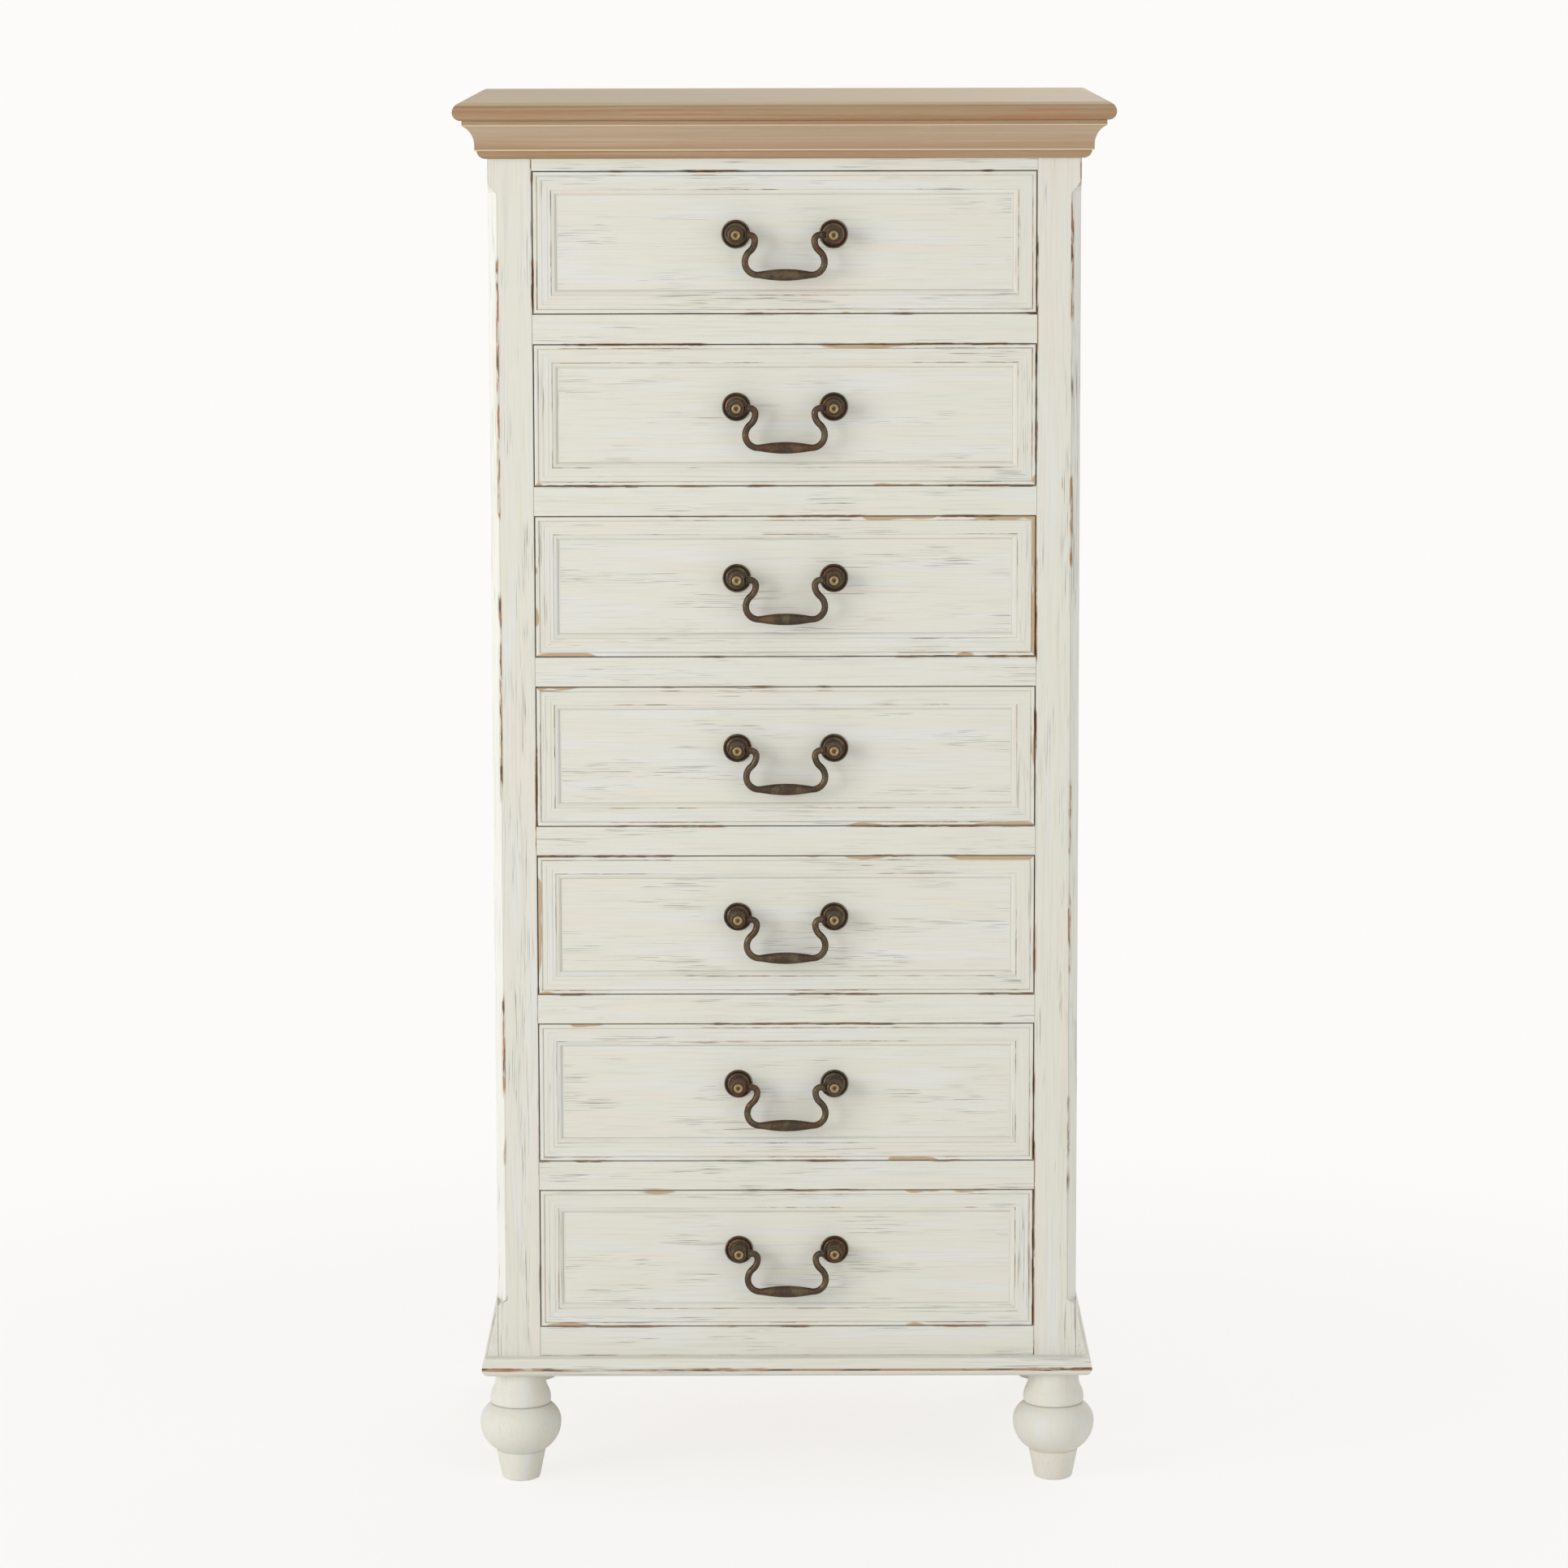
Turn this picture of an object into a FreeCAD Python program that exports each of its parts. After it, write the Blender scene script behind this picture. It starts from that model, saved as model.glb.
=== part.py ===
"""Tallboy: a narrow painted chest of seven drawers with a moulded wooden top and turned feet.

Millimetres. The origin is on the floor under the middle of the chest, +Z is up and the drawers face -Y.
Drawer 1 is the top one and drawer 7 the bottom one.
"""
import FreeCAD
import Part
import Sketcher
import math
import os
from types import SimpleNamespace

DRAWERS = 7
FOOT_SIDES = 16
ROSE_SIDES = 10
ROD_SIDES = 8
FIXING_SIDES = 6
BORE_SIDES = 12
HALF_DIAGONAL_SHARE = math.sqrt(0.5)
ARC_SHARES = (0.0, 0.4, 0.74, 1.0)
BEND_SHARES = (0.0, 0.6, 1.0)
GRIP_SHARES = (-1.0, -0.5, 0.0, 0.5, 1.0)

SIZES = {
    # carcass
    "carcass_width": 540.0,
    "carcass_depth": 415.0,
    "foot_height": 104.0,
    "post_width": 40.0,
    "opening_height": 130.5,
    "divider_height": 27.0,
    "divider_depth": 45.0,
    "bottom_rail_height": 27.5,
    "top_rail_reveal": 11.0,
    "cut_overrun": 2.0,
    # stopped chamfer on the front posts
    "chamfer_leg": 8.5,
    "chamfer_stop": 11.0,
    "chamfer_below_cornice": 21.0,
    "chamfer_above_base": 40.0,
    # frame and panel sides
    "side_rail_thickness": 22.0,
    "side_top_rail_height": 62.0,
    "side_bottom_rail_height": 66.0,
    "side_panel_inset": 6.0,
    "side_panel_thickness": 8.0,
    "panel_groove": 7.0,
    "panel_play": 0.5,
    "cove_height": 63.5,
    "cove_reach": 10.0,
    "cove_top_edge": 0.8,
    # back
    "back_panel_thickness": 8.0,
    "back_rebate": 9.0,
    "back_rail_thickness": 20.0,
    "back_top_rail_drop": 14.0,
    "back_bottom_rail_height": 50.0,
    # base frame
    "base_thickness": 17.5,
    "base_rail_width": 45.0,
    "base_reach": 14.5,
    "base_top_reach": 11.5,
    "base_nose_radius": 7.6,
    "bottom_board_thickness": 6.0,
    # cornice
    "cornice_height": 35.0,
    "cornice_reach": 24.2,
    "cornice_lip": 3.0,
    "cornice_cove_end": 22.5,
    "cornice_waist": 11.0,
    "cornice_waist_rise": 13.0,
    "cornice_step_rise": 7.5,
    "cornice_ovolo_reach": 9.2,
    "cornice_ovolo_radius": 8.0,
    "cornice_toe": 1.0,
    # top board
    "top_thickness": 16.5,
    "side_overhang": 30.0,
    "front_overhang": 30.0,
    "rear_overhang": 18.0,
    "nose_radius": 8.8,
    "nose_under": 5.5,
    # turned feet
    "foot_floor_radius": 15.0,
    "foot_toe_radius": 18.0,
    "foot_toe_rise": 3.0,
    "foot_ankle_radius": 22.8,
    "foot_ankle_height": 26.0,
    "foot_crease_radius": 23.7,
    "foot_crease_height": 29.0,
    "foot_ball_radius": 38.0,
    "foot_ball_height": 54.0,
    "foot_ring_height": 72.0,
    "foot_ring_crease": 27.0,
    "foot_ring_radius": 28.4,
    "foot_ring_rise": 2.0,
    "foot_neck_radius": 23.7,
    "foot_neck_height": 91.0,
    "bolt_radius": 5.0,
    "bolt_fit": 0.1,
    "bolt_in_foot": 38.0,
    "bolt_in_post": 30.0,
    # drawers
    "front_gap": 1.0,
    "slide_gap": 0.3,
    "front_thickness": 20.0,
    "edge_bead": 3.5,
    "bead_step": 0.8,
    "frame_width": 13.0,
    "field_inset": 21.0,
    "field_depth": 4.0,
    "moulding_fillet": 0.7,
    "moulding_radius": 9.0,
    "box_rear_play": 5.0,
    "box_side_thickness": 12.0,
    "box_top_play": 16.2,
    "box_back_drop": 8.0,
    "box_back_thickness": 12.0,
    "box_bottom_lift": 10.0,
    "box_bottom_thickness": 5.0,
    "box_groove": 5.0,
    "box_groove_play": 0.2,
    "runner_width": 16.0,
    "stop_height": 5.0,
    "stop_width": 30.0,
    "stop_length": 15.0,
    "stop_spread": 230.0,
    # handle mounts
    "handle_spacing": 89.0,
    "handle_lift": 7.5,
    "rosette_radius": 13.1,
    "rosette_rim": 1.4,
    "rosette_thickness": 2.6,
    "rosette_ring_radius": 10.6,
    "rosette_crown": 0.8,
    "mount_neck_radius": 5.5,
    "mount_body_start": 8.5,
    "mount_body_radius": 7.4,
    "mount_body_end": 22.5,
    "mount_length": 24.5,
    "button_radius": 4.7,
    "stud_radius": 2.5,
    "stud_fit": 0.1,
    "stud_tail": 6.0,
    "nut_half_width": 5.0,
    "nut_thickness": 3.5,
    # swan-neck bails
    "bail_standoff": 17.0,
    "bail_radius": 2.8,
    "pin_radius": 2.4,
    "pin_depth": 4.0,
    "pin_root": 2.0,
    "shoulder_play": 0.8,
    "pin_fit": 0.05,
    "pin_end_play": 0.4,
    "hook_reach": 27.0,
    "hook_radius": 5.0,
    "belly_reach": 36.2,
    "belly_drop": 24.5,
    "grip_drop": 36.2,
    "grip_radius": 5.4,
}

doc = FreeCAD.newDocument("tallboy")
sheet = doc.addObject("Spreadsheet::Sheet", "dims")


class Size:
    """A length that carries its number and the sheet formula that gives it."""

    def __init__(self, number, formula):
        self.number = number
        self.formula = formula

    def __add__(self, other):
        return Size(self.number + number_of(other), f"({self.formula} + {formula_of(other)})")

    def __sub__(self, other):
        return Size(self.number - number_of(other), f"({self.formula} - {formula_of(other)})")

    def __mul__(self, other):
        return Size(self.number * number_of(other), f"({self.formula} * {formula_of(other)})")

    def __truediv__(self, other):
        return Size(self.number / number_of(other), f"({self.formula} / {formula_of(other)})")

    def __neg__(self):
        return Size(-self.number, f"(0 - {self.formula})")

    def root(self):
        return Size(math.sqrt(self.number), f"sqrt({self.formula})")

    def __radd__(self, other):
        return self + other

    def __rmul__(self, other):
        return self * other


def number_of(value):
    return value.number if isinstance(value, Size) else value


def formula_of(value):
    return value.formula if isinstance(value, Size) else repr(value)


def fill_sheet():
    """Write each driving size to the sheet under its own alias."""
    for row, (name, length) in enumerate(SIZES.items(), start=1):
        sheet.set(f"A{row}", name)
        sheet.set(f"B{row}", str(length))
        sheet.setAlias(f"B{row}", name)
    doc.recompute()


def bind(item, prop, value):
    item.setExpression(prop, formula_of(value))


def place(item, x=0, y=0, z=0):
    for axis, value in zip("xyz", (x, y, z)):
        if isinstance(value, Size):
            bind(item, f"Placement.Base.{axis}", value)


def block(name, low, high):
    """A board between its lowest and highest corners."""
    item = doc.addObject("Part::Box", name)
    for prop, start, end in zip(("Length", "Width", "Height"), low, high):
        bind(item, prop, end - start)
    place(item, *low)
    return item


def rod(name, sides, radius, length, base, toward=(0, 0, 1)):
    """A bar of many sides that runs from its base point in one direction, with its corners on a circle."""
    item = doc.addObject("Part::Prism", name)
    turn = FreeCAD.Rotation(FreeCAD.Vector(0, 0, 1), FreeCAD.Vector(*toward))
    item.Placement = FreeCAD.Placement(FreeCAD.Vector(), turn)
    item.Polygon = sides
    bind(item, "Circumradius", radius)
    bind(item, "Height", length)
    place(item, *base)
    return item


def pin(name, radius, length, base, toward):
    """A round bar that runs from its base point in one direction."""
    item = doc.addObject("Part::Cylinder", name)
    turn = FreeCAD.Rotation(FreeCAD.Vector(0, 0, 1), FreeCAD.Vector(*toward))
    item.Placement = FreeCAD.Placement(FreeCAD.Vector(), turn)
    bind(item, "Radius", radius)
    bind(item, "Height", length)
    place(item, *base)
    return item


def ring(name, sides, radius, base, toward=(0, 0, 1)):
    """A regular polygon, square to a direction, with its corners on a circle."""
    item = doc.addObject("Part::RegularPolygon", name)
    turn = FreeCAD.Rotation(FreeCAD.Vector(0, 0, 1), FreeCAD.Vector(*toward))
    item.Placement = FreeCAD.Placement(FreeCAD.Vector(), turn)
    item.Polygon = sides
    bind(item, "Circumradius", radius)
    place(item, *base)
    return item


def stack(name, sides, outline, toward=(0, 0, 1), origin=(0, 0, 0)):
    """A turned piece: rings of the outline's radii at its distances along one direction, joined straight."""
    rings = []
    for index, (radius, distance) in enumerate(outline):
        base = [start + distance * way if way else start for start, way in zip(origin, toward)]
        rings.append(ring(f"{name}_ring_{index}", sides, radius, base, toward))
    item = doc.addObject("Part::Loft", name)
    item.Sections = rings
    item.Solid = True
    item.Ruled = True
    item.Linearize = True
    return item


def arc_offsets(across, along, shares=ARC_SHARES):
    """Steps along an arc that starts straight ahead: how far it has gone sideways and ahead at each."""
    radius = tangent_radius(across, along)
    steps = []
    for share in shares:
        ahead = along * share
        steps.append((radius - (radius * radius - ahead * ahead).root(), ahead))
    return steps


def carve(name, base, tools):
    """Cut each tool in turn from the base. The last cut has the given name."""
    for index, tool in enumerate(tools, start=1):
        cut = doc.addObject("Part::Cut", name if index == len(tools) else f"{name}_cut_{index}")
        cut.Base = base
        cut.Tool = tool
        base = cut
    return base


def join(name, pieces):
    """Fuse forms that meet into one solid."""
    item = doc.addObject("Part::MultiFuse", name)
    item.Shapes = pieces
    return item


def group(name, pieces):
    """Keep several solids together as one sub-part."""
    item = doc.addObject("Part::Compound", name)
    item.Links = pieces
    return item


def mirror(name, source):
    """The same piece on the other side of the chest."""
    item = doc.addObject("Part::Mirroring", name)
    item.Source = source
    item.Base = FreeCAD.Vector(0, 0, 0)
    item.Normal = FreeCAD.Vector(1, 0, 0)
    return item


def new_body(name):
    return doc.addObject("PartDesign::Body", name)


def new_sketch(body, name, role):
    """A sketch on one of the body's own planes. On XZ and YZ planes its second axis is the height."""
    sketch = body.newObject("Sketcher::SketchObject", name)
    plane = next(item for item in body.Origin.OriginFeatures if item.Role == role)
    sketch.AttachmentSupport = [(plane, "")]
    sketch.MapMode = "FlatFace"
    return sketch


def arc_between(start, end, radius, turn):
    """The short arc from start to end. It turns left or right as it goes."""
    chord = end - start
    half_chord = chord.Length / 2
    left = FreeCAD.Vector(-chord.y, chord.x, 0).normalize()
    side = 1 if turn == "left" else -1
    reach = math.sqrt(max(radius**2 - half_chord**2, 0))
    centre = (start + end) * 0.5 + left * (side * reach)
    first, last = (start, end) if turn == "left" else (end, start)
    angles = [math.atan2(p.y - centre.y, p.x - centre.x) for p in (first, last)]
    circle = Part.Circle(centre, FreeCAD.Vector(0, 0, 1), radius)
    return Part.ArcOfCircle(circle, *angles)


def fix_point(sketch, edge, end, x, y):
    """Hold a point of an edge at its distances from the sketch's origin."""
    for kind, axis_line, value in (("DistanceX", -2, x), ("DistanceY", -1, y)):
        if isinstance(value, Size):
            index = sketch.addConstraint(Sketcher.Constraint(kind, -1, 1, edge, end, value.number))
            bind(sketch, f"Constraints[{index}]", value)
        else:
            sketch.addConstraint(Sketcher.Constraint("PointOnObject", edge, end, axis_line))


def draw(sketch, corners, closed=True):
    """Draw lines and arcs through the corners: (x, y), or (x, y, turn, radius) where an arc starts."""
    points = [FreeCAD.Vector(number_of(corner[0]), number_of(corner[1]), 0) for corner in corners]
    count = len(corners) if closed else len(corners) - 1
    ends = []
    for index in range(count):
        start = points[index]
        end = points[(index + 1) % len(points)]
        if len(corners[index]) == 2:
            edge = sketch.addGeometry(Part.LineSegment(start, end), False)
            ends.append((edge, 1, 2))
            continue
        turn, radius = corners[index][2:]
        edge = sketch.addGeometry(arc_between(start, end, number_of(radius), turn), False)
        ends.append((edge, 1, 2) if turn == "left" else (edge, 2, 1))
        size = sketch.addConstraint(Sketcher.Constraint("Radius", edge, number_of(radius)))
        bind(sketch, f"Constraints[{size}]", radius)
    for index in range(count):
        edge, start_end, far_end = ends[index]
        fix_point(sketch, edge, start_end, corners[index][0], corners[index][1])
        if closed or index < count - 1:
            next_edge, next_start, _ = ends[(index + 1) % count]
            sketch.addConstraint(Sketcher.Constraint("Coincident", edge, far_end, next_edge, next_start))
        else:
            fix_point(sketch, edge, far_end, corners[-1][0], corners[-1][1])
    return sketch


def pad(body, sketch, length, symmetric=False, reverse=False):
    feature = body.newObject("PartDesign::Pad", f"{sketch.Name}_pad")
    feature.Profile = sketch
    bind(feature, "Length", length)
    if symmetric:
        feature.SideType = "Symmetric"
    feature.Reversed = reverse
    return feature


def pocket(body, sketch, depth):
    """Cut by the depth to both sides of the sketch's plane."""
    feature = body.newObject("PartDesign::Pocket", f"{sketch.Name}_pocket")
    feature.Profile = sketch
    bind(feature, "Length", depth * 2)
    feature.SideType = "Symmetric"
    return feature


def tangent_radius(across, along):
    """The radius of an arc that leaves its start along one direction and ends this far across."""
    return (across * across + along * along) / (across * 2)


fill_sheet()
d = SimpleNamespace(**{name: Size(length, f"dims.{name}") for name, length in SIZES.items()})

half_width = d.carcass_width / 2
half_opening = half_width - d.post_width
depth_all = d.carcass_depth + d.front_overhang + d.rear_overhang
face_y = d.front_overhang - depth_all / 2
rear_y = face_y + d.carcass_depth
carcass_z = d.foot_height + d.base_thickness
pitch = d.opening_height + d.divider_height
first_opening_z = carcass_z + d.bottom_rail_height
last_opening_z = first_opening_z + pitch * (DRAWERS - 1)
opening_top = last_opening_z + d.opening_height
cornice_z = opening_top + d.top_rail_reveal
top_z = cornice_z + d.cornice_height
divider_rear_y = face_y + d.divider_depth
back_panel_y = rear_y - d.back_panel_thickness
back_rail_y = back_panel_y - d.back_rail_thickness
front_half = half_opening - d.front_gap
front_rear_y = face_y + d.front_thickness
field_y = face_y + d.field_depth
post_centre = half_width - d.post_width / 2
foot_places = {
    "front_left": (-post_centre, face_y + d.post_width / 2),
    "front_right": (post_centre, face_y + d.post_width / 2),
    "rear_left": (-post_centre, rear_y - d.post_width / 2),
    "rear_right": (post_centre, rear_y - d.post_width / 2),
}


def mitred_set(name, corners, inner, reach, height, z):
    """A moulding round the front and both sides, mitred at the front corners.

    The profile's outer side is its low side, and its origin is on the carcass face.
    """
    over = d.cut_overrun
    front = new_body(f"{name}_front")
    profile = draw(new_sketch(front, f"{name}_front_profile", "YZ_Plane"), corners)
    pad(front, profile, d.carcass_width + reach * 2, symmetric=True)
    for side, end in (("left", -1), ("right", 1)):
        cut = new_sketch(front, f"{name}_front_mitre_{side}", "XY_Plane")
        draw(
            cut,
            [
                ((half_width - inner - over) * end, inner + over),
                ((half_width + reach + over) * end, -(reach + over)),
                ((half_width + reach + over) * end, inner + over),
            ],
        )
        pocket(front, cut, height * 2)
    place(front, 0, face_y, z)
    left = new_body(f"{name}_left")
    profile = draw(new_sketch(left, f"{name}_left_profile", "XZ_Plane"), corners)
    pad(left, profile, d.carcass_depth + reach)
    cut = new_sketch(left, f"{name}_left_mitre", "XY_Plane")
    draw(
        cut,
        [
            (inner + over, inner + over - d.carcass_depth),
            (-(reach + over), -(reach + over) - d.carcass_depth),
            (inner + over, -(reach + over) - d.carcass_depth),
        ],
    )
    pocket(left, cut, height * 2)
    place(left, -half_width, rear_y, z)
    return front, left


def make_top():
    """The wooden top: a board with a thumb-moulded nose on its front and side edges."""
    nose_height = d.top_thickness - d.nose_radius
    under_radius = tangent_radius(d.nose_under, nose_height)
    front_edge = -depth_all / 2
    lengthways = new_body("top_front_form")
    profile = draw(
        new_sketch(lengthways, "top_front_profile", "YZ_Plane"),
        [
            (depth_all / 2, 0),
            (depth_all / 2, d.top_thickness),
            (front_edge + d.nose_radius, d.top_thickness, "left", d.nose_radius),
            (front_edge, nose_height, "left", under_radius),
            (front_edge + d.nose_under, 0),
        ],
    )
    half_top = half_width + d.side_overhang
    pad(lengthways, profile, half_top * 2, symmetric=True)
    place(lengthways, 0, 0, top_z)
    crossways = new_body("top_side_form")
    profile = draw(
        new_sketch(crossways, "top_side_profile", "XZ_Plane"),
        [
            (half_top - d.nose_under, 0, "left", under_radius),
            (half_top, nose_height, "left", d.nose_radius),
            (half_top - d.nose_radius, d.top_thickness),
            (-(half_top - d.nose_radius), d.top_thickness, "left", d.nose_radius),
            (-half_top, nose_height, "left", under_radius),
            (-(half_top - d.nose_under), 0),
        ],
    )
    pad(crossways, profile, depth_all * 2, symmetric=True)
    place(crossways, 0, 0, top_z)
    board = doc.addObject("Part::MultiCommon", "top_board")
    board.Shapes = [lengthways, crossways]
    return [board]


def make_cornice():
    """The moulding under the top: an ovolo, a small step and a deep cove."""
    cove_rise = d.cornice_height - d.cornice_lip - d.cornice_waist_rise
    cove_radius = tangent_radius(d.cornice_cove_end - d.cornice_waist, cove_rise)
    corners = [
        (0, 0),
        (0, d.cornice_height),
        (-d.cornice_reach, d.cornice_height),
        (-d.cornice_reach, d.cornice_height - d.cornice_lip),
        (-d.cornice_cove_end, d.cornice_height - d.cornice_lip, "right", cove_radius),
        (-d.cornice_waist, d.cornice_waist_rise),
        (-d.cornice_waist, d.cornice_step_rise),
        (-d.cornice_ovolo_reach, d.cornice_step_rise, "left", d.cornice_ovolo_radius),
        (-d.cornice_toe, 0),
    ]
    front, left = mitred_set("cornice", corners, Size(0.0, "0"), d.cornice_reach, d.cornice_height, cornice_z)
    return [front, left, mirror("cornice_right", left)]


def bolt(name, key, radius):
    """A bar on the axis of one foot, from inside the foot to inside the post."""
    x, y = foot_places[key]
    length = d.bolt_in_foot + d.base_thickness + d.bolt_in_post
    return rod(name, FIXING_SIDES, radius, length, (x, y, d.foot_height - d.bolt_in_foot))


def bolt_holes(name, keys):
    """Tools that cut the clearance holes of the foot bolts at the named corners."""
    return [bolt(f"{name}_hole_{key}", key, d.bolt_radius + d.bolt_fit) for key in keys]


def make_base():
    """The base frame: nosed rails mitred at the front corners, with a thin board let into them."""
    rise = d.base_thickness - d.base_nose_radius
    shoulder_radius = tangent_radius(d.base_reach - d.base_top_reach, rise)
    corners = [
        (d.base_rail_width, 0),
        (d.base_rail_width, d.base_thickness),
        (-d.base_top_reach, d.base_thickness, "left", shoulder_radius),
        (-d.base_reach, d.base_nose_radius, "left", d.base_nose_radius),
        (d.base_nose_radius - d.base_reach, 0),
    ]
    front, left = mitred_set(
        "base_blank", corners, d.base_rail_width, d.base_reach, d.base_thickness, d.foot_height
    )
    front_moulding = carve(
        "base_moulding_front", front, bolt_holes("base_front", ["front_left", "front_right"])
    )
    left_moulding = carve("base_moulding_left", left, bolt_holes("base_left", ["front_left", "rear_left"]))
    inner_x = half_width - d.base_rail_width
    board = block(
        "bottom_board",
        (-inner_x, face_y + d.base_rail_width, carcass_z - d.bottom_board_thickness),
        (inner_x, rear_y - d.base_rail_width, carcass_z),
    )
    return [front_moulding, left_moulding, mirror("base_moulding_right", left_moulding), board]


def make_feet():
    """Turned feet: a tapered toe, a ball, a flared ring and a plain neck, each held by a long bolt."""
    ring_top = d.foot_ring_height + d.foot_ring_rise
    lower_ball = arc_offsets(
        d.foot_ball_radius - d.foot_crease_radius, d.foot_ball_height - d.foot_crease_height
    )
    upper_ball = arc_offsets(
        d.foot_ball_radius - d.foot_ring_crease, d.foot_ring_height - d.foot_ball_height
    )
    neck = arc_offsets(d.foot_ring_radius - d.foot_neck_radius, d.foot_neck_height - ring_top)
    outline = [
        (d.foot_floor_radius, 0),
        (d.foot_toe_radius, d.foot_toe_rise),
        (d.foot_ankle_radius, d.foot_ankle_height),
    ]
    outline += [(d.foot_ball_radius - side, d.foot_ball_height - down) for side, down in reversed(lower_ball)]
    outline += [(d.foot_ball_radius - side, d.foot_ball_height + up) for side, up in upper_ball[1:]]
    outline += [(d.foot_neck_radius + side, d.foot_neck_height - down) for side, down in reversed(neck)]
    outline += [(d.foot_neck_radius, d.foot_height)]
    turned = stack("foot_form", FOOT_SIDES, outline)
    nodes = []
    bolts = []
    for key, (x, y) in foot_places.items():
        foot = group(f"foot_blank_{key}", [turned])
        place(foot, x, y, 0)
        nodes.append(carve(f"foot_{key}", foot, bolt_holes("foot", [key])))
        bolts.append(bolt(f"foot_bolt_{key}", key, d.bolt_radius))
    nodes.append(group("foot_bolts", bolts))
    return nodes


def chamfer_tool():
    """The stopped chamfer with a lamb's-tongue curve at each end, set across the left front corner."""
    depth = d.chamfer_leg * HALF_DIAGONAL_SHARE
    half_stop = d.chamfer_stop / 2
    curve = tangent_radius(depth / 2, half_stop)
    low = carcass_z + d.chamfer_above_base
    high = cornice_z - d.chamfer_below_cornice
    outside = -(d.cove_reach + d.chamfer_leg)
    tool = new_body("chamfer_form")
    profile = draw(
        new_sketch(tool, "chamfer_profile", "XZ_Plane"),
        [
            (outside, low),
            (0, low, "right", curve),
            (depth / 2, low + half_stop, "left", curve),
            (depth, low + d.chamfer_stop),
            (depth, high - d.chamfer_stop, "left", curve),
            (depth / 2, high - half_stop, "right", curve),
            (0, high),
            (outside, high),
        ],
    )
    pad(tool, profile, d.post_width, symmetric=True)
    turn = FreeCAD.Rotation(FreeCAD.Vector(0, 0, 1), 45)
    tool.Placement = FreeCAD.Placement(FreeCAD.Vector(), turn)
    place(tool, -half_width, face_y, 0)
    return tool


def make_sides():
    """Posts, rails and panels of the left side, mirrored to the right."""
    front_inner_y = face_y + d.post_width
    rear_inner_y = rear_y - d.post_width
    bottom_rail_top = carcass_z + d.side_bottom_rail_height
    top_rail_bottom = top_z - d.side_top_rail_height
    panel_x = -half_width + d.side_panel_inset
    tongue = d.panel_groove - d.panel_play
    groove = block(
        "panel_groove_tool",
        (panel_x, front_inner_y - d.panel_groove, bottom_rail_top - d.panel_groove),
        (
            panel_x + d.side_panel_thickness,
            rear_inner_y + d.panel_groove,
            top_rail_bottom + d.panel_groove,
        ),
    )
    panel = block(
        "side_panel_left",
        (panel_x, front_inner_y - tongue, bottom_rail_top - d.panel_groove),
        (panel_x + d.side_panel_thickness, rear_inner_y + tongue, top_rail_bottom + tongue),
    )
    inner_x = -half_opening
    chamfer = chamfer_tool()
    front_blank = block("front_post_blank", (-half_width, face_y, carcass_z), (inner_x, front_inner_y, top_z))
    front_tools = [chamfer, groove] + bolt_holes("front_post", ["front_left"])
    front_post = carve("front_post_left", front_blank, front_tools)
    rear_blank = block("rear_post_blank", (-half_width, rear_inner_y, carcass_z), (inner_x, rear_y, top_z))
    rebate = block(
        "back_rebate_tool",
        (inner_x - d.back_rebate, back_panel_y, carcass_z - d.cut_overrun),
        (inner_x + d.cut_overrun, rear_y + d.cut_overrun, top_z + d.cut_overrun),
    )
    rear_tools = [rebate, groove] + bolt_holes("rear_post", ["rear_left"])
    rear_post = carve("rear_post_left", rear_blank, rear_tools)
    rail_x = -half_width + d.side_rail_thickness
    top_blank = block(
        "side_top_rail_blank", (-half_width, front_inner_y, top_rail_bottom), (rail_x, rear_inner_y, top_z)
    )
    bottom_blank = block(
        "side_bottom_rail_blank",
        (-half_width, front_inner_y, carcass_z),
        (rail_x, rear_inner_y, bottom_rail_top),
    )
    top_rail = carve("side_top_rail_left", top_blank, [groove])
    bottom_rail = carve("side_bottom_rail_left", bottom_blank, [groove])
    cove = new_body("side_cove_form")
    cove_across = d.cove_reach - d.cove_top_edge
    profile = draw(
        new_sketch(cove, "side_cove_profile", "XZ_Plane"),
        [
            (0, 0),
            (0, d.cove_height),
            (-d.cove_top_edge, d.cove_height, "right", tangent_radius(cove_across, d.cove_height)),
            (-d.cove_reach, 0),
        ],
    )
    pad(cove, profile, d.carcass_depth)
    place(cove, -half_width, rear_y, carcass_z)
    cove_strip = carve("side_cove_left", cove, [chamfer])
    left = [panel, front_post, rear_post, top_rail, bottom_rail, cove_strip]
    return left + [mirror(item.Name.replace("_left", "_right"), item) for item in left]


def make_back():
    """The back panel in its rebates, and the rails behind the drawers and under the posts."""
    panel_half = half_opening + d.back_rebate
    panel = block("back_panel", (-panel_half, back_panel_y, carcass_z), (panel_half, rear_y, top_z))
    base_half = half_width - d.base_rail_width
    rails = [
        block(
            "back_top_rail",
            (-half_opening, back_rail_y, opening_top - d.back_top_rail_drop),
            (half_opening, back_panel_y, top_z),
        ),
        block(
            "back_bottom_rail",
            (-half_opening, back_rail_y, carcass_z),
            (half_opening, back_panel_y, carcass_z + d.back_bottom_rail_height),
        ),
        block(
            "back_base_rail",
            (-base_half, rear_y - d.base_rail_width, d.foot_height),
            (base_half, rear_y, carcass_z),
        ),
    ]
    return [panel, group("back_rails", rails)]


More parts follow.
